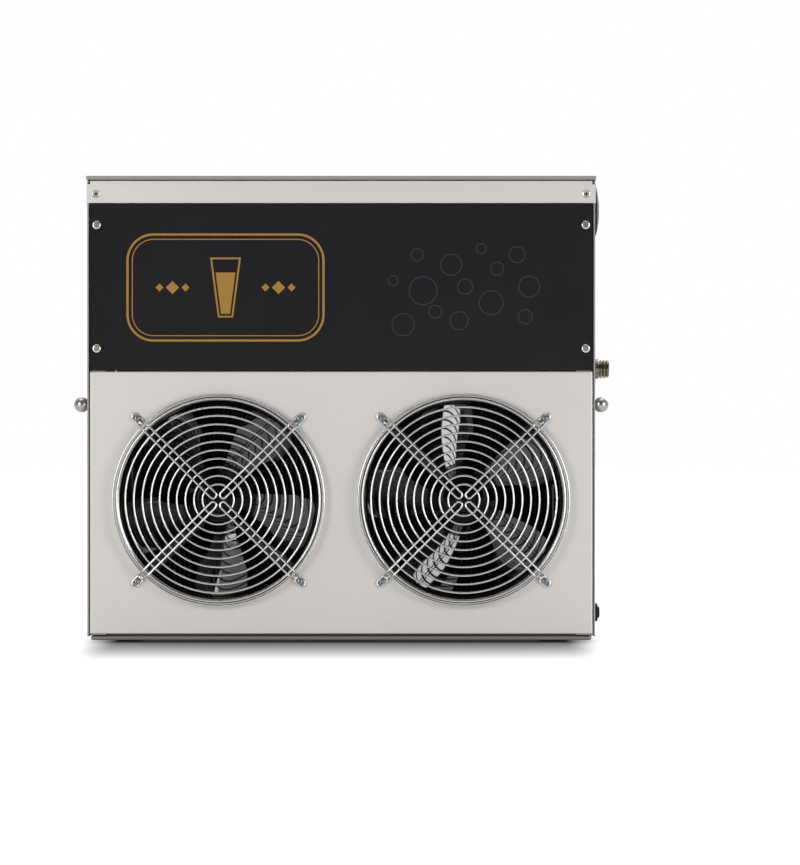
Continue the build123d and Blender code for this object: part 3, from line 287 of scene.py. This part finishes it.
plainLooks = {
    "screw_steel": {"dark": (0.52, 0.50, 0.46), "light": (0.70, 0.68, 0.64),
                    "rough": (0.16, 0.30), "metal": 1.0,
                    "smudge": 300.0, "speck": 2500.0, "bump": 0.10},
    "zinc_screw": {"dark": (0.13, 0.155, 0.160), "light": (0.34, 0.375, 0.380),
                   "rough": (0.16, 0.30), "metal": 1.0,
                   "smudge": 350.0, "speck": 2500.0, "bump": 0.10},
    "polished_steel": {"dark": (0.30, 0.30, 0.30), "light": (0.41, 0.41, 0.40),
                       "rough": (0.24, 0.34), "metal": 1.0,
                       "smudge": 90.0, "speck": 1800.0, "bump": 0.03},
    "guard_wire": {"dark": (0.52, 0.535, 0.525), "light": (0.66, 0.67, 0.65),
                   "rough": (0.18, 0.30), "metal": 1.0,
                   "smudge": 140.0, "speck": 2200.0, "bump": 0.06},
    "black_plastic": {"dark": (0.006, 0.006, 0.006), "light": (0.012, 0.012, 0.012),
                      "rough": (0.36, 0.50), "metal": 0.0, "specular": 0.18,
                      "smudge": 60.0, "speck": 3000.0, "bump": 0.25},
    "black_rubber": {"dark": (0.010, 0.010, 0.010), "light": (0.020, 0.019, 0.018),
                     "rough": (0.65, 0.85), "metal": 0.0,
                     "smudge": 80.0, "speck": 1500.0, "bump": 0.35},
    "black_paint": {"dark": (0.008, 0.008, 0.009), "light": (0.016, 0.016, 0.018),
                    "rough": (0.28, 0.42), "metal": 0.0,
                    "smudge": 30.0, "speck": 1200.0, "bump": 0.15},
    "nickel_brass": {"dark": (0.13, 0.11, 0.08), "light": (0.33, 0.30, 0.25),
                     "rough": (0.20, 0.36), "metal": 1.0,
                     "smudge": 220.0, "speck": 2200.0, "bump": 0.12},
    "copper": {"dark": (0.48, 0.22, 0.12), "light": (0.72, 0.40, 0.26),
               "rough": (0.22, 0.42), "metal": 1.0,
               "smudge": 60.0, "speck": 1800.0, "bump": 0.08},
    "foam": {"dark": (0.62, 0.58, 0.44), "light": (0.78, 0.74, 0.60),
             "rough": (0.8, 0.95), "metal": 0.0,
             "smudge": 60.0, "speck": 500.0, "bump": 0.6},
    "chrome": {"dark": (0.60, 0.61, 0.62), "light": (0.70, 0.71, 0.72),
               "rough": (0.05, 0.12), "metal": 1.0,
               "smudge": 60.0, "speck": 1800.0, "bump": 0.02},
}
plainLooks["sunkScrew"] = {**plainLooks["screw_steel"], "dark": (0.50, 0.48, 0.45),
                           "light": (0.68, 0.66, 0.62), "metal": 0.45}


def addAround(tree, centre):
    # Distance from a fan's axis, in the piece's own coordinates, so that it turns with the wheel
    axes = addAxes(tree)
    return addLength(tree, addMath(tree, "SUBTRACT", axes["X"], centre[0]),
                     addMath(tree, "SUBTRACT", axes["Z"], centre[1]))


# Fan wheels: mirror metal on the blades, its colour darkened as painted shade for the dark duct and room it
# reflects; black paint inside the hub's radius
wheel = {"hubRadius": 0.0370, "dark": (0.054, 0.054, 0.053), "light": (0.074, 0.074, 0.072),
         "paint": (0.003, 0.003, 0.0035), "rough": (0.03, 0.07), "specular": 0.12,
         "smudge": 30.0, "speck": 900.0, "bump": 0.01}


def wheelFinish(name, centre):
    material, tree, shader = newTree(name)
    metal = addMix(tree, addMarks(tree, shader, wheel), wheel["dark"], wheel["light"])
    onBlade = addMath(tree, "GREATER_THAN", addAround(tree, centre), wheel["hubRadius"])
    tree.links.new(addMix(tree, onBlade, wheel["paint"], metal), shader.inputs["Base Color"])
    tree.links.new(onBlade, shader.inputs["Metallic"])
    return material


# Bell mouths: bright lip with a painted shadow line on either side of it, in the gaps at its edges
lip = {"joints": ((0.0989, 0.0006), (0.1029, 0.0007)), "shade": (0.03, 0.03, 0.03)}


def lipFinish(name, centre):
    material = sheetMetal(name, sheetLooks["duct_metal"])
    tree = material.node_tree
    around = addAround(tree, centre)
    masks = [addWithin(tree, addMath(tree, "SUBTRACT", around, radius), half)
             for radius, half in lip["joints"]]
    addPrint(material, addUnion(tree, masks), lip["shade"])
    return material


# Thermostat dial: white ticks round the rim, open at the foot, and a pointer line
dial = {"ticks": 12, "tickHalf": 0.0004, "tickFrom": 0.0172, "tickTo": 0.0202, "openBelow": -0.0130,
        "pointer": 62.0, "pointerHalf": 0.0007, "pointerFrom": 0.0060, "pointerTo": 0.0150,
        "white": (0.62, 0.62, 0.60)}


def dialFinish():
    material = plainFinish("dialMarks", plainLooks["black_plastic"])
    tree = material.node_tree
    low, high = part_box("thermostat_dial")
    axes = addAxes(tree)
    across = addMath(tree, "SUBTRACT", axes["Y"], (low[1] + high[1]) / 2)
    up = addMath(tree, "SUBTRACT", axes["Z"], (low[2] + high[2]) / 2)
    # Ticks lie where a wave round the dial crosses zero, twice in each of its periods
    waves = dial["ticks"] / 2
    wave = addMath(tree, "SINE", addMath(tree, "MULTIPLY", addMath(tree, "ARCTAN2", up, across), waves))
    ticks = addWithin(tree, wave, waves * dial["tickHalf"] / dial["tickTo"])
    rim = addBand(tree, addLength(tree, across, up), dial["tickFrom"], dial["tickTo"])
    ticks = addMath(tree, "MULTIPLY", ticks, rim)
    ticks = addMath(tree, "MULTIPLY", ticks, addMath(tree, "GREATER_THAN", up, dial["openBelow"]))
    turn = math.radians(dial["pointer"])
    along = addMath(tree, "ADD", addMath(tree, "MULTIPLY", across, math.cos(turn)),
                    addMath(tree, "MULTIPLY", up, math.sin(turn)))
    beside = addMath(tree, "SUBTRACT", addMath(tree, "MULTIPLY", up, math.cos(turn)),
                     addMath(tree, "MULTIPLY", across, math.sin(turn)))
    pointer = addMath(tree, "MULTIPLY", addWithin(tree, beside, dial["pointerHalf"]),
                      addBand(tree, along, dial["pointerFrom"], dial["pointerTo"]))
    addPrint(material, addUnion(tree, (ticks, pointer)), dial["white"])
    return material


# Fascia: gloss black, with a gold tumbler badge on the left and faint bubbles on the right
plate = {"dark": (0.0135, 0.0128, 0.0148), "light": (0.0165, 0.0158, 0.0180), "metal": 0.0,
         "rough": (0.12, 0.22), "specular": 0.17, "smudge": 8.0, "speck": 400.0, "bump": 0.02,
         "gold": (0.33, 0.185, 0.045), "grey": (0.036, 0.035, 0.040)}
badge = {"at": (-0.1157, 0.3552), "half": (0.0980, 0.0530), "round": 0.026,
         "outerLine": 0.0011, "innerLine": 0.0005, "lineStep": 0.0048,
         "glassHalf": 0.0115, "glassFlare": 0.13, "glassHeight": 0.0300, "glassLine": 0.0009,
         "beerGap": 0.0036, "beerTop": 0.0150,
         "diamonds": ((0.040, 0.0040), (0.053, 0.0066), (0.066, 0.0040))}
bubbles = {"line": 0.0006,
           "rings": ((0.062, 0.318, 0.0110), (0.094, 0.331, 0.0065), (0.082, 0.352, 0.0140),
                     (0.118, 0.322, 0.0090), (0.124, 0.356, 0.0075), (0.110, 0.378, 0.0105),
                     (0.150, 0.340, 0.0120), (0.156, 0.374, 0.0065), (0.184, 0.326, 0.0070),
                     (0.188, 0.356, 0.0105), (0.176, 0.388, 0.0080), (0.076, 0.388, 0.0060),
                     (0.140, 0.394, 0.0050), (0.052, 0.362, 0.0050))}


def addBadge(tree, x, z):
    across = addDistance(tree, x, badge["at"][0])
    up = addMath(tree, "SUBTRACT", z, badge["at"][1])
    high = addMath(tree, "ABSOLUTE", up)
    # Frame: two lines round a rectangle with rounded corners
    pastX, pastZ = [addPast(tree, size, half - badge["round"])
                    for size, half in zip((across, high), badge["half"])]
    rim = addMath(tree, "SUBTRACT", addLength(tree, pastX, pastZ), badge["round"])
    masks = [addWithin(tree, rim, badge["outerLine"]),
             addWithin(tree, addMath(tree, "ADD", rim, badge["lineStep"]), badge["innerLine"])]
    # Tumbler: a flared outline, filled with beer up to the head
    slant = addMath(tree, "ADD", addMath(tree, "MULTIPLY", up, badge["glassFlare"]), badge["glassHalf"])
    beside = addMath(tree, "SUBTRACT", across, slant)
    glass = addMath(tree, "MAXIMUM", beside, addMath(tree, "SUBTRACT", high, badge["glassHeight"]))
    masks.append(addWithin(tree, addMath(tree, "ADD", glass, badge["glassLine"]), badge["glassLine"]))
    beer = addMath(tree, "LESS_THAN", glass, -badge["beerGap"])
    masks.append(addMath(tree, "MULTIPLY", beer, addMath(tree, "LESS_THAN", up, badge["beerTop"])))
    for place, size in badge["diamonds"]:
        off = addMath(tree, "ADD", addDistance(tree, across, place), high)
        masks.append(addMath(tree, "LESS_THAN", off, size))
    return addUnion(tree, masks)


def addBubbles(tree, x, z):
    masks = []
    for atX, atZ, radius in bubbles["rings"]:
        across = addMath(tree, "SUBTRACT", x, atX)
        up = addMath(tree, "SUBTRACT", z, atZ)
        off = addMath(tree, "SUBTRACT", addLength(tree, across, up), radius)
        masks.append(addWithin(tree, off, bubbles["line"]))
    return addUnion(tree, masks)


def plateFinish():
    material = plainFinish("black_gloss", plate)
    tree = material.node_tree
    axes = addAxes(tree)
    addPrint(material, addBubbles(tree, axes["X"], axes["Z"]), plate["grey"])
    addPrint(material, addBadge(tree, axes["X"], axes["Z"]), plate["gold"])
    return material


finishes = {name: sheetMetal(name, look) for name, look in sheetLooks.items()}
finishes.update({name: plainFinish(name, look) for name, look in plainLooks.items()})
finishes["black_gloss"] = plateFinish()
ownFinish = {"thermostat_dial": dialFinish(), "base_pan": finishes["darkPan"],
             "front_sill": finishes["darkSill"], "top_lid": finishes["darkRim"],
             "collar_screws": finishes["sunkScrew"]}
for side, centre in fanCentres.items():
    ownFinish["fan_wheel_" + side] = wheelFinish("blade_metal_" + side, centre)
    ownFinish["bell_mouth_" + side] = lipFinish("duct_metal_" + side, centre)
slotOf = {part["node"]: part["material_slot"] for part in frame["record"]["subparts"]}
for name, node in nodes.items():
    for materialSlot in node.material_slots:
        materialSlot.material = ownFinish.get(name) or finishes[slotOf[name]]
print("finishes:", len(finishes) + len(ownFinish))

# Mesh helpers; edges over the sharp angle are shaded as corners, so that flat rims stay crisp
mesher = {"sharpAngle": 35, "merge": 0.00002, "fineMerge": 0.000001, "level": 0.00001, "flat": 0.99}


def finishPiece(name, mesh, finish, body, replaced=None):
    data = bpy.data.meshes.new(name)
    mesh.to_mesh(data)
    mesh.free()
    data.set_sharp_from_angle(angle=math.radians(mesher["sharpAngle"]))
    piece = bpy.data.objects.new(name, data)
    scene.collection.objects.link(piece)
    data.materials.append(ownFinish.get(replaced) or finishes[finish])
    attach(piece, body)
    if replaced:
        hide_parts(replaced)


def edgesOf(verts):
    # Each edge once, in the same order in every run
    return list(dict.fromkeys(edge for vert in verts for edge in vert.link_edges))


def circleEdges(mesh, radius, sides, place):
    made = bmesh.ops.create_circle(mesh, cap_ends=False, radius=radius, segments=sides, matrix=place)
    return edgesOf(made["verts"])


def pushWire(mesh, edges, step):
    grown = bmesh.ops.extrude_edge_only(mesh, edges=edges)["geom"]
    verts = [item for item in grown if isinstance(item, bmesh.types.BMVert)]
    bmesh.ops.translate(mesh, verts=verts, vec=step)
    return [item for item in grown if isinstance(item, bmesh.types.BMEdge)
            and all(vert in verts for vert in item.verts)]


def bendWire(mesh, edges, centre, axis, degrees, steps):
    grown = bmesh.ops.spin(mesh, geom=edges, cent=centre, axis=axis, angle=math.radians(degrees), steps=steps)
    return [item for item in grown["geom_last"] if isinstance(item, bmesh.types.BMEdge)]


def closeMesh(mesh, distance):
    bmesh.ops.remove_doubles(mesh, verts=mesh.verts, dist=distance)
    bmesh.ops.recalc_face_normals(mesh, faces=mesh.faces)


def addRing(mesh, radius, wire, height, sides, steps):
    place = Matrix.Translation((radius, 0, height)) @ Matrix.Rotation(math.radians(90), 4, "X")
    edges = circleEdges(mesh, wire, sides, place)
    bmesh.ops.spin(mesh, geom=edges, cent=(0, 0, 0), axis=(0, 0, 1), angle=math.tau, steps=steps,
                   use_merge=True)


def addTurned(mesh, radius, low, high, sides, bevel=0.0, segments=3):
    made = bmesh.ops.create_cone(mesh, cap_ends=True, segments=sides, radius1=radius, radius2=radius,
                                 depth=high - low)
    verts = made["verts"]
    bmesh.ops.translate(mesh, vec=(0, 0, (low + high) / 2), verts=verts)
    if bevel:
        rim = [edge for edge in edgesOf(verts)
               if all(vert.co.z > high - mesher["level"] for vert in edge.verts)]
        bmesh.ops.bevel(mesh, geom=rim, offset=bevel, segments=segments, profile=0.5, affect="EDGES",
                        material=-1)


def turnMesh(mesh, degrees, verts):
    bmesh.ops.rotate(mesh, verts=verts, cent=(0, 0, 0), matrix=Matrix.Rotation(math.radians(degrees), 3, "Z"))


def standUp(mesh, x, y, z):
    # Work done flat, with z towards the viewer, is stood against the cabinet's front
    place = Matrix.Translation((x, y, z)) @ Matrix.Rotation(math.radians(90), 4, "X")
    bmesh.ops.transform(mesh, matrix=place, verts=mesh.verts)


# Wire guards: eleven rings behind four hairpin ribs, and a base ring near the panel
guard = {"ringWire": 0.0010, "ribWire": 0.0011, "firstRing": 0.0157, "ringPitch": 0.00855, "rings": 11,
         "baseRing": 0.1055, "raise": 0.013, "halfPitch": 0.00335, "innerRadius": 0.00715,
         "bendRadius": 0.1027, "footRadius": 0.1095, "endRadius": 0.1176, "corner": 0.003,
         "weld": 0.0004, "ringSteps": 120, "sides": 12, "bendSteps": 8, "turns": (45, 135, 225, 315)}


def addRib(mesh, turn):
    wire = guard["ribWire"]
    half = guard["halfPitch"]
    high = guard["raise"]
    corner = guard["corner"]
    steps = guard["bendSteps"]
    drop = high - wire
    run = guard["footRadius"] - guard["bendRadius"]
    slope = math.atan2(drop, run)
    turned = math.degrees(slope)
    cut = corner * math.tan(slope / 2)
    slopeLength = math.hypot(drop, run) - 2 * cut
    outward, downward = slopeLength * math.cos(slope), slopeLength * math.sin(slope)
    upperX = guard["bendRadius"] - cut
    lowerX = guard["footRadius"] + cut
    firstRun = upperX - guard["innerRadius"]
    lastRun = guard["endRadius"] - lowerX
    before = set(mesh.verts)
    upright = Matrix.Rotation(math.radians(90), 4, "Y")
    place = Matrix.Translation((guard["innerRadius"], -half, high)) @ upright
    edges = circleEdges(mesh, wire, guard["sides"], place)
    # Out along one leg, down the slope, round the eye and back along the other leg
    edges = pushWire(mesh, edges, (firstRun, 0, 0))
    edges = bendWire(mesh, edges, (upperX, -half, high - corner), (0, 1, 0), turned, steps)
    edges = pushWire(mesh, edges, (outward, 0, -downward))
    edges = bendWire(mesh, edges, (lowerX, -half, wire + corner), (0, 1, 0), -turned, steps)
    edges = pushWire(mesh, edges, (lastRun, 0, 0))
    edges = bendWire(mesh, edges, (guard["endRadius"], 0, wire), (0, 0, 1), 180, 2 * steps)
    edges = pushWire(mesh, edges, (-lastRun, 0, 0))
    edges = bendWire(mesh, edges, (lowerX, half, wire + corner), (0, 1, 0), turned, steps)
    edges = pushWire(mesh, edges, (-outward, 0, downward))
    edges = bendWire(mesh, edges, (upperX, half, high - corner), (0, 1, 0), -turned, steps)
    edges = pushWire(mesh, edges, (-firstRun, 0, 0))
    bendWire(mesh, edges, (guard["innerRadius"], 0, high), (0, 0, 1), 180, 2 * steps)
    turnMesh(mesh, turn, [vert for vert in mesh.verts if vert not in before])


# Small plate between a hairpin's wires, just inside its screw
tab = {"start": 0.1066, "end": 0.1112, "halfWidth": 0.0022, "low": 0.0003, "thick": 0.0012,
       "round": 0.0003, "segments": 2}


def addTab(mesh, turn):
    verts = bmesh.ops.create_cube(mesh, size=1)["verts"]
    bmesh.ops.scale(mesh, vec=(tab["end"] - tab["start"], 2 * tab["halfWidth"], tab["thick"]), verts=verts)
    rounded = bmesh.ops.bevel(mesh, geom=edgesOf(verts), offset=tab["round"], segments=tab["segments"],
                              profile=0.5, affect="EDGES", material=-1)
    verts = list(dict.fromkeys(vert for face in rounded["faces"] for vert in face.verts))
    middle = ((tab["start"] + tab["end"]) / 2, 0, tab["low"] + tab["thick"] / 2)
    bmesh.ops.translate(mesh, vec=middle, verts=verts)
    turnMesh(mesh, turn, verts)


def makeGuard(side):
    mesh = bmesh.new()
    wire, sides, steps = guard["ringWire"], guard["sides"], guard["ringSteps"]
    ringPlane = guard["raise"] - wire - guard["ribWire"] + guard["weld"]
    for index in range(guard["rings"]):
        addRing(mesh, guard["firstRing"] + index * guard["ringPitch"], wire, ringPlane, sides, steps)
    share = (guard["baseRing"] - guard["bendRadius"]) / (guard["footRadius"] - guard["bendRadius"])
    baseHeight = guard["raise"] + (guard["ribWire"] - guard["raise"]) * share - wire
    addRing(mesh, guard["baseRing"], wire, baseHeight, sides, steps)
    for turn in guard["turns"]:
        addRib(mesh, turn)
    closeMesh(mesh, mesher["merge"])
    for turn in guard["turns"]:
        addTab(mesh, turn)
    x, z = fanCentres[side]
    standUp(mesh, x, frontY, z)
    finishPiece("wireGuard_" + side, mesh, "guard_wire", "cabinet", "fan_guard_" + side)


for side in fanCentres:
    makeGuard(side)
print("guards made")

# Guard screws: washer, domed head and a round recess, one in the eye of each hairpin
guardScrew = {"ring": 0.115, "washerRadius": 0.0034, "washer": 0.0006, "washerEdge": 0.0001,
              "seat": 0.0019, "headRadius": 0.0027, "head": 0.0022, "sides": 32,
              "dome": 0.6, "domeSteps": 5, "recessWall": 0.12, "recess": 0.0013,
              "shank": 0.0016, "shankSides": 16, "length": 0.009}


def makeGuardScrews():
    mesh = bmesh.new()
    look = guardScrew
    low = look["seat"] + look["washer"]
    high = low + look["head"]
    for x, z in fanCentres.values():
        for turn in guard["turns"]:
            single = bmesh.new()
            addTurned(single, look["washerRadius"], look["seat"], low, look["sides"], look["washerEdge"], 1)
            addTurned(single, look["headRadius"], low, high, look["sides"], look["head"] * look["dome"],
                      look["domeSteps"])
            top = [face for face in single.faces if face.normal.z > mesher["flat"]
                   and face.calc_center_median().z > high - mesher["level"]]
            bmesh.ops.inset_region(single, faces=top, thickness=look["headRadius"] * look["recessWall"],
                                   use_even_offset=True)
            bmesh.ops.translate(single, vec=(0, 0, -look["recess"]), verts=list(top[0].verts))
            addTurned(single, look["shank"], -look["length"], look["seat"], look["shankSides"])
            angle = math.radians(turn)
            standUp(single, x + look["ring"] * math.cos(angle), frontY, z + look["ring"] * math.sin(angle))
            data = bpy.data.meshes.new("guardScrew")
            single.to_mesh(data)
            single.free()
            mesh.from_mesh(data)
            bpy.data.meshes.remove(data)
    bmesh.ops.recalc_face_normals(mesh, faces=mesh.faces)
    finishPiece("guardScrews", mesh, "zinc_screw", "cabinet", "guard_screws")


makeGuardScrews()
print("guard screws made")

# Collar screws: bright countersunk rim and a shallow star recess coloured black as painted shade, on the
# heads already there
sunk = {"rimRadius": 0.0034, "rimWire": 0.00035, "rimSides": 8, "rimSteps": 36, "proud": 0.00005,
        "recess": 0.0015, "points": 6, "innerShare": 0.72, "depth": 0.0002}


def addStar(mesh):
    corners = 2 * sunk["points"]
    made = bmesh.ops.create_cone(mesh, cap_ends=True, segments=corners, radius1=sunk["recess"],
                                 radius2=sunk["recess"], depth=sunk["depth"])
    inner = [vert for vert in made["verts"]
             if round(math.atan2(vert.co.y, vert.co.x) / math.tau * corners) % 2]
    bmesh.ops.scale(mesh, vec=(sunk["innerShare"], sunk["innerShare"], 1), verts=inner)


def makeSunkTrim():
    rims, shadedStars = bmesh.new(), bmesh.new()
    low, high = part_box("collar_screws")
    height = (low[2] + high[2]) / 2
    reach = high[0] - (high[2] - low[2]) / 2
    for x in (-reach, reach):
        for y, turn in ((low[1], 90), (high[1], -90)):
            place = Matrix.Translation((x, y, height)) @ Matrix.Rotation(math.radians(turn), 4, "X")
            for mesh in (rims, shadedStars):
                before = set(mesh.verts)
                if mesh is rims:
                    addRing(mesh, sunk["rimRadius"], sunk["rimWire"], sunk["proud"], sunk["rimSides"],
                            sunk["rimSteps"])
                else:
                    addStar(mesh)
                grown = [vert for vert in mesh.verts if vert not in before]
                bmesh.ops.transform(mesh, matrix=place, verts=grown)
    # The star recess is black plastic: painted shade in a steel hollow too shallow to shade itself
    for name, mesh, finish in (("rim", rims, "screw_steel"), ("recess", shadedStars, "black_plastic")):
        closeMesh(mesh, mesher["fineMerge"])
        finishPiece("collarScrew_" + name, mesh, finish, "cabinet")


makeSunkTrim()
print("collar screw trim made")

# Fan wheels: five pressed blades, twisted and cambered, on a turned hub
blade = {"root": 0.0200, "tip": 0.0962, "rootHalf": 0.0130, "tipHalf": 0.0300, "widenRate": 1.35,
         "corner": 0.0045, "sheet": 0.0010, "rootPitch": 33.0, "tipPitch": 20.0, "camber": 0.0062,
         "middle": 0.0205, "spanSteps": 28, "chordSteps": 20, "count": 5,
         "leftTurn": 125.0, "rightTurn": 100.0}
hub = {"radius": 0.0240, "length": 0.0160, "round": 0.0036, "sides": 64, "roundSteps": 6,
       "capRadius": 0.0085, "cap": 0.0012, "capSunk": 0.0005, "capRound": 0.0005, "capSides": 40,
       "capSteps": 3}


def shapeBlade(mesh):
    # A flat grid is bent to the blade: x along the reach, y round the axis, z along it
    grid = bmesh.ops.create_grid(mesh, x_segments=blade["spanSteps"], y_segments=blade["chordSteps"], size=1)
    reach = blade["tip"] - blade["root"]
    corner = blade["corner"]
    for vert in grid["verts"]:
        along = (vert.co.x + 1) / 2
        across = vert.co.y
        radius = blade["root"] + reach * along
        widened = min(1, along * blade["widenRate"])
        half = blade["rootHalf"] + (blade["tipHalf"] - blade["rootHalf"]) * widened
        past = max(0.0, radius - (blade["tip"] - corner))
        half -= corner - math.sqrt(max(0.0, corner ** 2 - past ** 2))
        arc = across * half
        pitch = math.radians(blade["rootPitch"] + (blade["tipPitch"] - blade["rootPitch"]) * along)
        # Camber grows from half at the root to full at the tip
        bulge = blade["camber"] * (0.5 - across ** 2) * (0.5 + 0.5 * along)
        height = arc * math.tan(pitch) + bulge
        angle = arc / radius
        vert.co = (radius * math.cos(angle), radius * math.sin(angle), height - blade["middle"])
    bmesh.ops.recalc_face_normals(mesh, faces=mesh.faces)
    bmesh.ops.solidify(mesh, geom=mesh.faces[:], thickness=blade["sheet"])


def makeWheel(side):
    mesh = bmesh.new()
    shapeBlade(mesh)
    step = math.tau / blade["count"]
    bmesh.ops.spin(mesh, geom=mesh.verts[:] + mesh.edges[:] + mesh.faces[:], cent=(0, 0, 0), axis=(0, 0, 1),
                   angle=math.tau - step, steps=blade["count"] - 1, use_duplicate=True)
    low = -blade["middle"] - hub["length"] / 2
    high = low + hub["length"]
    addTurned(mesh, hub["radius"], low, high, hub["sides"], hub["round"], hub["roundSteps"])
    addTurned(mesh, hub["capRadius"], high - hub["capSunk"], high + hub["cap"], hub["capSides"],
              hub["capRound"], hub["capSteps"])
    turnMesh(mesh, blade[side + "Turn"], mesh.verts)
    x, z = fanCentres[side]
    standUp(mesh, x, frontY, z)
    finishPiece("fanWheel_" + side, mesh, "blade_metal", "fan_" + side, "fan_wheel_" + side)


for side in fanCentres:
    makeWheel(side)
print("fan wheels made")

# Studio: white sweep and backdrop, dark room behind the camera, soft boxes round the object
studio = {"floorSize": 20, "floorColour": 0.28, "lift": (0.0, 1.0), "shadowPoolHalf": 0.22,
          "liftSpan": (0.0, 0.47), "sideRise": 9.0, "behindRise": 2.0, "leastLift": 0.028,
          "mirrorLift": 0.82, "contactReach": 0.06, "contactPower": 0.9, "contactSamples": 8,
          "fill": 0.46, "fillColour": (1, 0.992, 0.98, 1), "white": (1, 1, 1, 1),
          "roomDepth": (0.03, 0.85), "roomDepthSpan": (-0.55, 0.30),
          "roomTop": (0.0, 0.50), "roomTopSpan": (0.35, 0.95)}
lamps = {
    "leftBox": {"at": (-1.9, frontY - 2.3, 0.85), "size": (1.2, 1.6), "watts": 43},
    "rightBox": {"at": (2.3, frontY - 2.0, 0.75), "size": (1.2, 1.5), "watts": 51},
    "topBox": {"at": (0.0, 0.1, 2.5), "size": (2.4, 1.8), "watts": 30},
    "backBox": {"at": (0.7, backY + 2.4, 1.7), "size": (3.0, 2.6), "watts": 42},
}
lampAim = Vector((0, 0, 0.22))


def addMirrorRays(tree, rays):
    return addMath(tree, "MAXIMUM", rays.outputs["Is Glossy Ray"], rays.outputs["Is Transmission Ray"])


def makeFloor():
    mesh = bmesh.new()
    bmesh.ops.create_grid(mesh, x_segments=1, y_segments=1, size=studio["floorSize"])
    data = bpy.data.meshes.new("floor")
    mesh.to_mesh(data)
    mesh.free()
    floor = bpy.data.objects.new("floor", data)
    scene.collection.objects.link(floor)
    material, tree, shader = newTree("floorWhite")
    # Painted contact shadow: an occlusion test darkens the floor's colour close to the cabinet
    contact = tree.nodes.new("ShaderNodeAmbientOcclusion")
    contact.samples = studio["contactSamples"]
    contact.inputs["Distance"].default_value = studio["contactReach"]
    clear = addMath(tree, "POWER", contact.outputs["AO"], studio["contactPower"])
    tone = studio["floorColour"]
    tree.links.new(addMix(tree, clear, (0, 0, 0), (tone, tone, tone)), shader.inputs["Base Color"])
    shader.inputs["Roughness"].default_value = 1.0
    shader.inputs["Specular IOR Level"].default_value = 0.0
    # The floor is lifted to white where it is seen, but less and less towards the cabinet's foot: a painted
    # shadow pool in front of it, beside it and behind it
    axes = addAxes(tree)
    aside = addPast(tree, addMath(tree, "ABSOLUTE", axes["X"]), studio["shadowPoolHalf"])
    aside = addMath(tree, "MULTIPLY", aside, studio["sideRise"])
    ahead = addMath(tree, "MAXIMUM", addMath(tree, "SUBTRACT", frontY, axes["Y"]), 0.0)
    behind = addMath(tree, "MULTIPLY", addPast(tree, axes["Y"], backY), studio["behindRise"])
    away = addLength(tree, aside, addMath(tree, "ADD", ahead, behind))
    lift = addRange(tree, away, studio["lift"], studio["liftSpan"], "SMOOTHSTEP")
    rays = tree.nodes.new("ShaderNodeLightPath")
    direct = addMath(tree, "MULTIPLY", rays.outputs["Is Camera Ray"],
                     addMath(tree, "MAXIMUM", lift, studio["leastLift"]))
    # Reflections see the floor's white with the same painted contact shadow
    mirrored = addMath(tree, "MULTIPLY", addMirrorRays(tree, rays),
                       addMath(tree, "MULTIPLY", clear, studio["mirrorLift"]))
    shader.inputs["Emission Color"].default_value = studio["white"]
    tree.links.new(addMath(tree, "MAXIMUM", direct, mirrored), shader.inputs["Emission Strength"])
    data.materials.append(material)


def makeWorld():
    world = bpy.data.worlds.new("studio")
    scene.world = world
    world.use_nodes = True
    tree = world.node_tree
    tree.nodes.clear()
    out = tree.nodes.new("ShaderNodeOutputWorld")
    fill = addNode(tree, "ShaderNodeBackground", Strength=studio["fill"], Color=studio["fillColour"])
    white = addNode(tree, "ShaderNodeBackground", Strength=1.0, Color=studio["white"])
    # Polished metal sees white behind the object, a mid grey ceiling and a dark room in front
    room = tree.nodes.new("ShaderNodeBackground")
    axes = addAxes(tree, "Generated")
    depthwise = addRange(tree, axes["Y"], studio["roomDepth"], studio["roomDepthSpan"], "SMOOTHSTEP")
    upward = addRange(tree, axes["Z"], studio["roomTop"], studio["roomTopSpan"], "SMOOTHSTEP")
    tree.links.new(addMath(tree, "MAXIMUM", depthwise, upward), room.inputs["Strength"])
    rays = tree.nodes.new("ShaderNodeLightPath")
    glossy = tree.nodes.new("ShaderNodeMixShader")
    seen = tree.nodes.new("ShaderNodeMixShader")
    for mixer, share, first, second in ((glossy, addMirrorRays(tree, rays), fill, room),
                                        (seen, rays.outputs["Is Camera Ray"], glossy, white)):
        tree.links.new(share, mixer.inputs["Fac"])
        tree.links.new(first.outputs[0], mixer.inputs[1])
        tree.links.new(second.outputs[0], mixer.inputs[2])
    tree.links.new(seen.outputs[0], out.inputs["Surface"])


def makeLamps():
    for name, lamp in lamps.items():
        data = bpy.data.lights.new(name, "AREA")
        data.shape = "RECTANGLE"
        data.size, data.size_y = lamp["size"]
        data.energy = lamp["watts"]
        light = bpy.data.objects.new(name, data)
        light.location = lamp["at"]
        light.rotation_euler = (lampAim - light.location).to_track_quat("-Z", "Y").to_euler()
        scene.collection.objects.link(light)


makeFloor()
makeWorld()
makeLamps()
print("studio set")
